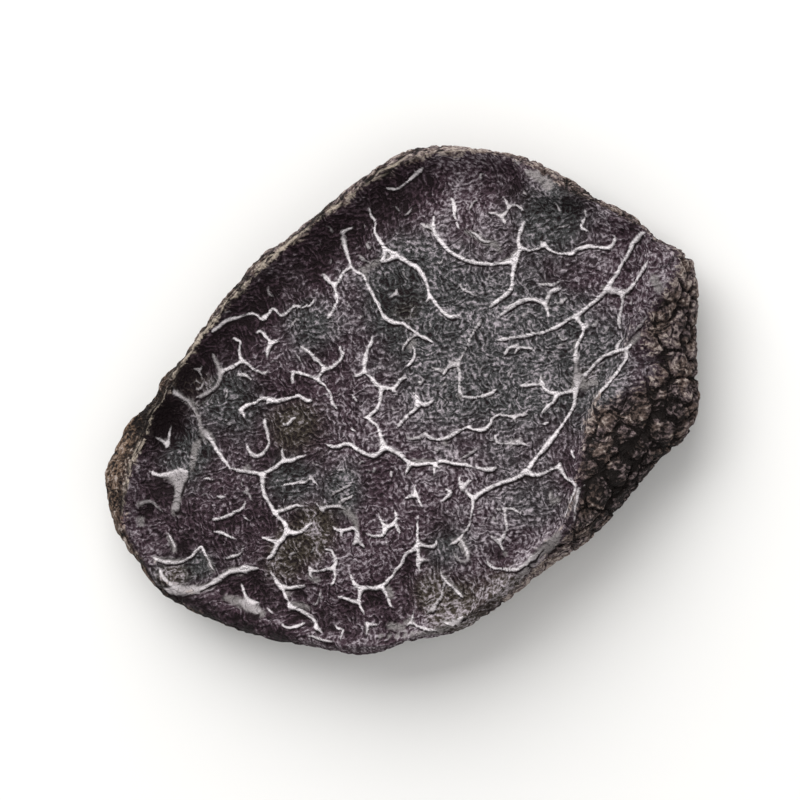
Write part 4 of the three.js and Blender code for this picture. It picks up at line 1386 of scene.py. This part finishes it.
        # Furrows of the wrinkle height take the dark colour as painted shade and crests the light colour as
        # painted highlight, along with the flesh's own grain, wisps and specks and the tone.
        lift = self._math(tree, "MULTIPLY_ADD", tone_and_shading, finish.tone_and_shading_share, height)
        lit = self._ramp(tree, lift, *finish.body_range)
        colour = self._mix(tree, lit, linear(finish.dark), body)
        lit = self._ramp(tree, lift, *finish.light_range)
        colour = self._mix(tree, lit, colour, linear(finish.light))
        web = self._math(tree, "MULTIPLY_ADD", grain, 0.3, self._attribute(tree, "web"))
        thin = self._math(tree, "MULTIPLY", self._ramp(tree, web, *finish.web_range), finish.thin_share)
        colour = self._mix(tree, thin, colour, linear(finish.faint_vein))
        flat = self._math(tree, "MULTIPLY_ADD", wrinkle, 0.35, self._attribute(tree, "veil"))
        thin = self._math(tree, "MULTIPLY", self._ramp(tree, flat, *finish.veil_range), finish.thin_share)
        colour = self._mix(tree, thin, colour, linear(finish.veil))
        # Painted shadow: the dark line just below each vein.
        painted_vein_shadow = self._ramp(tree, self._attribute(tree, "groove_and_shadow"), *finish.vein_shadow_range)
        colour = self._mix(tree, painted_vein_shadow, colour, linear(finish.dark))
        rough = self._math(tree, "MULTIPLY_ADD", wrinkle, 0.16, self._math(tree, "MULTIPLY", grain, 0.3))
        rough = self._math(tree, "SUBTRACT", rough, 0.2)
        vein = self._math(tree, "ADD", rough, self._attribute(tree, "vein"))
        pale = self._ramp(tree, self._attribute(tree, "pale"), *finish.pale_range)
        chalk = self._mix(tree, pale, linear(finish.faint_vein), linear(finish.vein))
        return self._mix(tree, self._ramp(tree, vein, *finish.vein_range), colour, chalk)

    def _skin_colour(self, tree: bpy.types.NodeTree, place: bpy.types.NodeSocket,
                     wrinkle: bpy.types.NodeSocket, grain: bpy.types.NodeSocket,
                     speck: bpy.types.NodeSocket) -> bpy.types.NodeSocket:
        """Colours the skin: creases black with painted shade, brown ringed warts, tops pale with dust and
        painted highlight, and a pale cut rim that is a painted highlight.
        """
        finish = self.skin
        wart = self._attribute(tree, "wart")
        stray = self._noise(tree, place, finish.patch_width, detail=2.0)
        turn = self._math(tree, "MULTIPLY_ADD", self._attribute(tree, "ring"), 1 / finish.ring_width,
                          self._math(tree, "MULTIPLY", stray, finish.ring_waver))
        ring = self._math(tree, "SINE", self._math(tree, "MULTIPLY", turn, 2 * math.pi))
        ring = self._math(tree, "MULTIPLY", self._ramp(tree, ring, *finish.ring_range),
                          self._ramp(tree, stray, *finish.ringed_range))
        rough = self._math(tree, "SUBTRACT", wrinkle, 0.5)
        rough = self._math(tree, "MULTIPLY_ADD", rough, finish.wrinkle_share, wart)
        rough = self._math(tree, "MULTIPLY_ADD", ring, finish.ring_share, rough)
        rough = self._math(tree, "MULTIPLY_ADD", speck, finish.speck_share, rough)
        # The tone also darkens the skin where a shadow is painted on it, as on the lower right flank.
        rough = self._math(tree, "MULTIPLY_ADD", self._attribute(tree, "tone_and_shading"), finish.tone_and_shading_share, rough)
        grey = self._ramp(tree, stray, *finish.grey_range)
        body = self._mix(tree, grey, linear(finish.brown), linear(finish.grey))
        down = self._ramp(tree, self._attribute(tree, "way"), *finish.tan_range)
        worn = self._mix(tree, down, linear(finish.shade), linear(finish.tan))
        body = self._mix(tree, self._attribute(tree, "tan"), body, worn)
        raised = self._ramp(tree, rough, *finish.body_range)
        # Painted shade: the creases between warts, and dark rings and specks, take the near-black crease
        # colour.
        colour = self._mix(tree, raised, linear(finish.crease_shade), body)
        # Wart tops and pale ridges turn pale: partly dust, partly painted highlight.
        top = self._math(tree, "MULTIPLY_ADD", grain, finish.grain_share, rough)
        colour = self._mix(tree, self._ramp(tree, top, *finish.dust_and_highlight_range), colour, linear(finish.dust_and_highlight))
        along = add_node(tree, "ShaderNodeAttribute", {"attribute_name": "along"}).outputs["Vector"]
        streak = self._noise(tree, along, finish.streak_width, detail=3.0)
        streak = self._ramp(tree, streak, *finish.streak_range)
        rust = self._math(tree, "MULTIPLY", self._attribute(tree, "rust"), grain)
        colour = self._mix(tree, self._ramp(tree, rust, *finish.rust_range), colour, linear(finish.rust))
        # Painted highlight along the lip's crest, broken into streaks along the rim.
        rim = self._math(tree, "MULTIPLY", self._attribute(tree, "rim"), streak)
        return self._mix(tree, self._ramp(tree, rim, *finish.rim_highlight_range), colour, linear(finish.rim))


@dataclass
class TruffleSlice:
    """The slice: its mesh, what is stored on it, and its finish."""

    form: SliceForm = field(default_factory=SliceForm)
    material: TruffleMaterial = field(default_factory=TruffleMaterial)
    ball_level: int = 6
    refine_rounds: int = 3
    face_edge: float = 0.41 * MM
    vein_edge: float = 0.13 * MM
    flank_edge: float = 0.235 * MM
    vein_height: float = 0.035 * MM
    groove_depth: float = 0.09 * MM
    dimple_depth: float = 0.22 * MM
    fine_size: float = 1.0 * MM
    fine_height: float = 0.13 * MM
    skin_wrinkle_size: float = 0.75 * MM
    skin_wrinkle_height: float = 0.12 * MM
    underside_shift: tuple[float, float] = (0.5 * MM, -0.4 * MM)
    streak_turn: float = 5.0 * MM
    underside_coarseness: float = 2.0
    dull_vein_edges: float = 3.0
    vein_fade: tuple[float, float] = (0.2, 0.42)
    crease_power: float = 1.4
    edge_band: float = 0.9 * MM
    flat_band: float = 0.15 * MM
    skin_end: float = 0.12
    trough_shadow_band: float = 1.9 * MM
    trough_painted_shadow: float = 0.5
    dimple_painted_shade: float = 0.8
    tan_side: tuple[float, float] = (185, 38)
    worn_sides: tuple[tuple[float, float, float], ...] = (
        (-90, 60, 1.3), (54, 10, 0.7), (30, 13, 1.0), (6, 7, 0.5))
    worn_down: float = 1.6
    worn_range: tuple[float, float] = (0.1, 0.5)
    rim_highlight_place: float = -0.05 * MM
    rim_highlight_width: float = 0.35 * MM
    rim_highlight_bearing: float = math.radians(150)
    rim_highlight_least: float = 0.4

    def build(self) -> bpy.types.Object:
        """Builds the slice.

        Returns:
            The finished mesh object.
        """
        self.veins = VeinNetwork(self.form)
        LOG.info("vein points: %d", len(self.veins.samples))
        piece = self._add_ball()
        self._refine(piece)
        self._shape(piece)
        piece.data.materials.append(self.material.build())
        return piece

    def _add_ball(self) -> bpy.types.Object:
        """Adds the ball of even triangles."""
        bpy.ops.object.select_all(action="DESELECT")
        bpy.ops.mesh.primitive_ico_sphere_add(subdivisions=self.ball_level, radius=1.0)
        piece = bpy.context.active_object
        piece.name = "dried_truffle_slice"
        piece.data.name = "dried_truffle_slice"
        return piece

    @staticmethod
    def _ball_points(piece: bpy.types.Object) -> np.ndarray:
        """Reads the mesh's points and brings them onto the unit ball."""
        points = np.empty(len(piece.data.vertices) * 3)
        piece.data.vertices.foreach_get("co", points)
        points = points.reshape(-1, 3)
        return points / np.linalg.norm(points, axis=1, keepdims=True)

    def _vein_strength(self, surface: Surface) -> np.ndarray:
        """Tells the vein's amount, paleness, web, groove and painted shadow below it, and veil at each point,
        one row each.
        """
        shifted = surface.places[:, :2] + np.where(surface.on_underside[:, None], self.underside_shift, 0)
        rows = np.zeros((5, len(shifted)))
        worn = self._worn_share(surface) > 0
        for cut in (surface.on_face | worn, surface.on_underside):
            rows[:, cut] = self.veins.strength(shifted[cut])
        return rows * np.where(surface.on_underside, 1, 1 - smoothstep(surface.fall, *self.vein_fade))

    def _wanted_edge(self, surface: Surface) -> np.ndarray:
        """Tells how long an edge may be at each point: short at veins and on the seen flank."""
        veins, _, _, groove_and_shadow, veil = self._vein_strength(surface)
        bare = surface.on_face | (self._worn_share(surface) > 0)
        seen = smoothstep(np.cos(surface.bearing), -0.3, 0.3) * (1 - smoothstep(surface.fall, 0.5, 0.9))
        wanted = self.flank_edge * (2 - seen)
        wanted[surface.on_face] = self.face_edge
        wanted[surface.on_underside] = self.underside_coarseness * self.face_edge
        close = smoothstep(np.maximum(veins + groove_and_shadow, veil), 0.02, 0.3)
        return wanted + close * (self.vein_edge * np.where(bare, 1, self.dull_vein_edges) - wanted)

    def _refine(self, piece: bpy.types.Object) -> None:
        """Splits the edges that are too long once laid out on the slice."""
        mesh = piece.data
        for turn in range(self.refine_rounds):
            surface = self.form.lay_out(self._ball_points(piece))
            wanted = self._wanted_edge(surface)
            ends = np.empty(2 * len(mesh.edges), dtype=np.int32)
            mesh.edges.foreach_get("vertices", ends)
            first, second = ends.reshape(-1, 2).T
            length = np.linalg.norm(surface.places[first] - surface.places[second], axis=1)
            long = length > 0.5 * (wanted[first] + wanted[second])
            self._split_edges(mesh, long)
            LOG.info("round %d: split %d edges, now %d faces", turn, int(long.sum()), len(mesh.polygons))

    @staticmethod
    def _split_edges(mesh: bpy.types.Mesh, chosen: np.ndarray) -> None:
        """Splits chosen edges in two and keeps every face a triangle."""
        mesh.vertices.foreach_set("select", np.zeros(len(mesh.vertices), dtype=bool))
        mesh.polygons.foreach_set("select", np.zeros(len(mesh.polygons), dtype=bool))
        mesh.edges.foreach_set("select", chosen)
        bpy.context.tool_settings.mesh_select_mode = (False, True, False)
        bpy.ops.object.mode_set(mode="EDIT")
        bpy.ops.mesh.subdivide(number_cuts=1, ngon=False)
        bpy.ops.mesh.select_all(action="SELECT")
        bpy.ops.mesh.quads_convert_to_tris()
        bpy.ops.object.mode_set(mode="OBJECT")

    def _shape(self, piece: bpy.types.Object) -> None:
        """Lays the ball out on the slice, adds the fine relief and stores what the finish reads."""
        surface = self.form.lay_out(self._ball_points(piece))
        veins, pale, web, groove_and_shadow, veil = self._vein_strength(surface)
        groove_and_shadow = np.clip(groove_and_shadow, 0, 1) * (1 - smoothstep(veins, 0.35, 0.8))
        places = surface.places
        cut = surface.on_face | surface.on_underside
        edge_fade = smoothstep(surface.inside, 0, self.edge_band)
        fine = np.abs(soft_noise(places, self.fine_size, Salt.FINE)) - 0.3
        fine += 0.6 * (np.abs(soft_noise(places, 0.55 * self.fine_size, Salt.FINEST)) - 0.3)
        ridge = smoothstep(veins, 0.15, 0.9) * self.vein_height
        groove = groove_and_shadow * self.groove_depth
        dimple = self.form.blend_spots(places, DIMPLES) * self.dimple_depth
        relief = ridge - groove - dimple - fine * self.fine_height
        rise = np.where(cut, relief * at_least(edge_fade, 0.3), 0)
        size = self.skin_wrinkle_size
        bent = warped(places, size, 0.4 * size, Salt.SKIN_WARP)
        nearest, second = packed_domes(bent, size, Salt.SKIN_WRINKLE)
        wrinkle = smoothstep(second - nearest, 0, 0.45) - 0.6
        fade = smoothstep(surface.fall, 0, self.skin_end) * smoothstep(1 - surface.fall, 0, self.skin_end)
        rise += wrinkle * self.skin_wrinkle_height * np.where(cut, 0.0, fade)
        rise[surface.on_underside & (surface.places[:, 2] < self.flat_band)] = 0
        places = places + surface.outward * rise[:, None]
        places[:, 2] = np.maximum(places[:, 2], 0)
        mesh = piece.data
        mesh.vertices.foreach_set("co", places.ravel())
        tan = self._tan_share(surface)
        # How much painted shade the skin's creases take, less on the tan side.
        crease_shade = (1 - surface.wart) ** self.crease_power * (1 - 0.5 * tan)
        down = -surface.inside
        turned = (np.cos(surface.bearing), np.sin(surface.bearing), down / self.streak_turn)
        stored = {
            "vein": veins, "pale": pale, "web": web, "groove_and_shadow": groove_and_shadow, "veil": veil,
            "skin": self._skin_share(surface), "rim": self._rim_painted_highlight(surface),
            "wart": (1 - crease_shade) * (0.85 + 0.55 * wrinkle), "ring": surface.ring,
            "tone_and_shading": self._tone_and_painted_shading(surface),
            "cool": self.form.blend_spots(surface.places, COOL_PARTS),
            "olive": self.form.blend_spots(surface.places, OLIVE_PARTS),
            "rust": self.form.blend_spots(surface.places, RUST_PARTS),
            "tan": tan, "along": np.stack(turned, axis=1) * self.streak_turn, "way": down / MM}
        for name, values in stored.items():
            self._store(mesh, name, values)
        mesh.update()
        bpy.ops.object.mode_set(mode="EDIT")
        bpy.ops.mesh.select_all(action="SELECT")
        bpy.ops.mesh.normals_make_consistent(inside=False)
        bpy.ops.object.mode_set(mode="OBJECT")
        bpy.ops.object.shade_smooth()

    def _tone_and_painted_shading(self, surface: Surface) -> np.ndarray:
        """Tells how light or dark the flesh is at each point: its own lighter and darker parts, with painted
        shade in the trough under the lip, in the dimples and in the hollows, and the painted light and shade
        among the listed spots.
        """
        tone_and_shading = self.form.blend_spots(surface.places, TONES_AND_PAINTED_SHADING)
        # Painted shadow of the lip: a dark band in the trough inside it, strongest at the trough's bearing.
        side = facing(surface.bearing, self.form.trough_bearing) * (surface.inside > 0)
        tone_and_shading -= self.trough_painted_shadow * side * hump(surface.inside, self.trough_shadow_band)
        # Painted shade in the dimples.
        tone_and_shading -= self.dimple_painted_shade * self.form.blend_spots(surface.places, DIMPLES)
        # Painted shade in the hollows of the cut face, and a little painted light on its humps.
        return tone_and_shading + 0.5 * np.minimum(surface.hollow / MM, 0.3)

    def _tan_share(self, surface: Surface) -> np.ndarray:
        """Tells how much of the skin's dark is rubbed off to tan, most of all on the -X side."""
        middle, width = self.tan_side
        return hump(turn_from(surface.bearing, middle), math.radians(width))

    def _worn_share(self, surface: Surface) -> np.ndarray:
        """Tells how far the skin is worn off the edge by the lip, most of all on the -Y side."""
        on_flank = ~(surface.on_face | surface.on_underside)
        worn = self._worn_sides(surface.bearing) - self.worn_down * surface.fall
        return np.where(on_flank, smoothstep(worn, *self.worn_range), 0)

    def _worn_sides(self, bearing: np.ndarray) -> np.ndarray:
        """Tells how worn the edge is by bearing: on the -Y side and at three places on the +X side."""
        worn = np.zeros_like(bearing)
        for middle, width, amount in self.worn_sides:
            worn += amount * hump(turn_from(bearing, middle), math.radians(width))
        return worn

    def _skin_share(self, surface: Surface) -> np.ndarray:
        """Tells how much skin each point has: 0 on the cut faces and 1 on the flank."""
        on_flank = ~(surface.on_face | surface.on_underside)
        ragged = 0.35 * MM * soft_noise(surface.places, 1.5 * MM, Salt.SKIN_EDGE)
        ragged += 0.25 * MM * soft_noise(surface.places, 0.5 * MM, Salt.FINE_SKIN_EDGE)
        wide = at_least(facing(surface.bearing, 0), 0.5) * MM
        near_edge = 1 - smoothstep((surface.inside + ragged) / wide, -0.4, 1.0)
        near_edge *= 1 - np.minimum(1, self._worn_sides(surface.bearing))
        return np.where(on_flank, 1.0 - self._worn_share(surface), near_edge)

    def _rim_painted_highlight(self, surface: Surface) -> np.ndarray:
        """Tells how much painted highlight the lip's crest takes at each point, most of all on the side of
        the trough.
        """
        near = hump(surface.inside - self.rim_highlight_place, self.rim_highlight_width)
        side = at_least(np.cos(surface.bearing - self.rim_highlight_bearing), self.rim_highlight_least)
        return near * np.maximum(0, side)

    @staticmethod
    def _store(mesh: bpy.types.Mesh, name: str, values: np.ndarray) -> None:
        """Stores a number, or a row of three, for each point of the mesh."""
        kind, key = ("FLOAT", "value") if values.ndim == 1 else ("FLOAT_VECTOR", "vector")
        layer = mesh.attributes.new(name, kind, "POINT")
        layer.data.foreach_set(key, values.astype(np.float32).ravel())


@dataclass
class Studio:
    """A pale floor, soft light from beyond the slice, and the camera."""

    floor_size: float = 3.0
    floor_colour: str = "#dddcda"
    view_tilt: float = math.radians(20)
    view_distance: float = 0.81
    lens: float = 540.0
    aim: tuple[float, float, float] = (0.0, 0.0, 3.0 * MM)

    def build(self) -> None:
        """Builds the floor, the lights and the camera."""
        self._add_floor()
        self._add_camera()
        self._add_light("key", (-0.1, 0.44, 0.38), 0.75, 6.2)
        self._add_light("fill", (0.4, -0.2, 0.45), 0.6, 1.2)
        world = bpy.data.worlds.new("studio")
        world.use_nodes = True
        world.node_tree.nodes["Background"].inputs["Color"].default_value = linear("#ffffff")
        world.node_tree.nodes["Background"].inputs["Strength"].default_value = 0.56
        bpy.context.scene.world = world
        bpy.context.scene.view_settings.view_transform = "Standard"

    def _add_floor(self) -> None:
        """Adds the floor."""
        bpy.ops.object.select_all(action="DESELECT")
        bpy.ops.mesh.primitive_plane_add(size=self.floor_size)
        floor = bpy.context.active_object
        floor.name = "floor"
        material = bpy.data.materials.new("pale_paper")
        material.use_nodes = True
        shader = material.node_tree.nodes["Principled BSDF"]
        shader.inputs["Base Color"].default_value = linear(self.floor_colour)
        shader.inputs["Roughness"].default_value = 0.9
        floor.data.materials.append(material)

    def _add_camera(self) -> None:
        """Adds the camera, which looks down from a slant towards +X with +Y up in the picture."""
        right = Vector((math.cos(self.view_tilt), 0, -math.sin(self.view_tilt)))
        back = Vector((math.sin(self.view_tilt), 0, math.cos(self.view_tilt)))
        turn = Matrix((right, Vector((0, 1, 0)), back)).transposed()
        camera = bpy.data.cameras.new("camera")
        camera.lens = self.lens
        camera.clip_start = 0.01
        holder = bpy.data.objects.new("camera", camera)
        holder.matrix_world = Matrix.Translation(Vector(self.aim) + back * self.view_distance) @ turn.to_4x4()
        bpy.context.scene.collection.objects.link(holder)
        bpy.context.scene.camera = holder

    @staticmethod
    def _add_light(name: str, place: tuple[float, float, float], size: float, watts: float) -> None:
        """Adds a soft square light that faces the slice."""
        light = bpy.data.lights.new(name, "AREA")
        light.size = size
        light.energy = watts
        holder = bpy.data.objects.new(name, light)
        holder.location = place
        holder.rotation_euler = Vector(place).to_track_quat("Z", "Y").to_euler()
        bpy.context.scene.collection.objects.link(holder)


def main() -> None:
    """Builds the slice and the studio around it."""
    logging.basicConfig(level=logging.INFO, format="%(message)s")
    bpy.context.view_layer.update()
    piece = TruffleSlice().build()
    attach(piece, "root")
    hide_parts(NODE)
    LOG.info("%s: %d points, %d faces", piece.name, len(piece.data.vertices), len(piece.data.polygons))
    Studio().build()


if __name__ == "__main__":
    main()
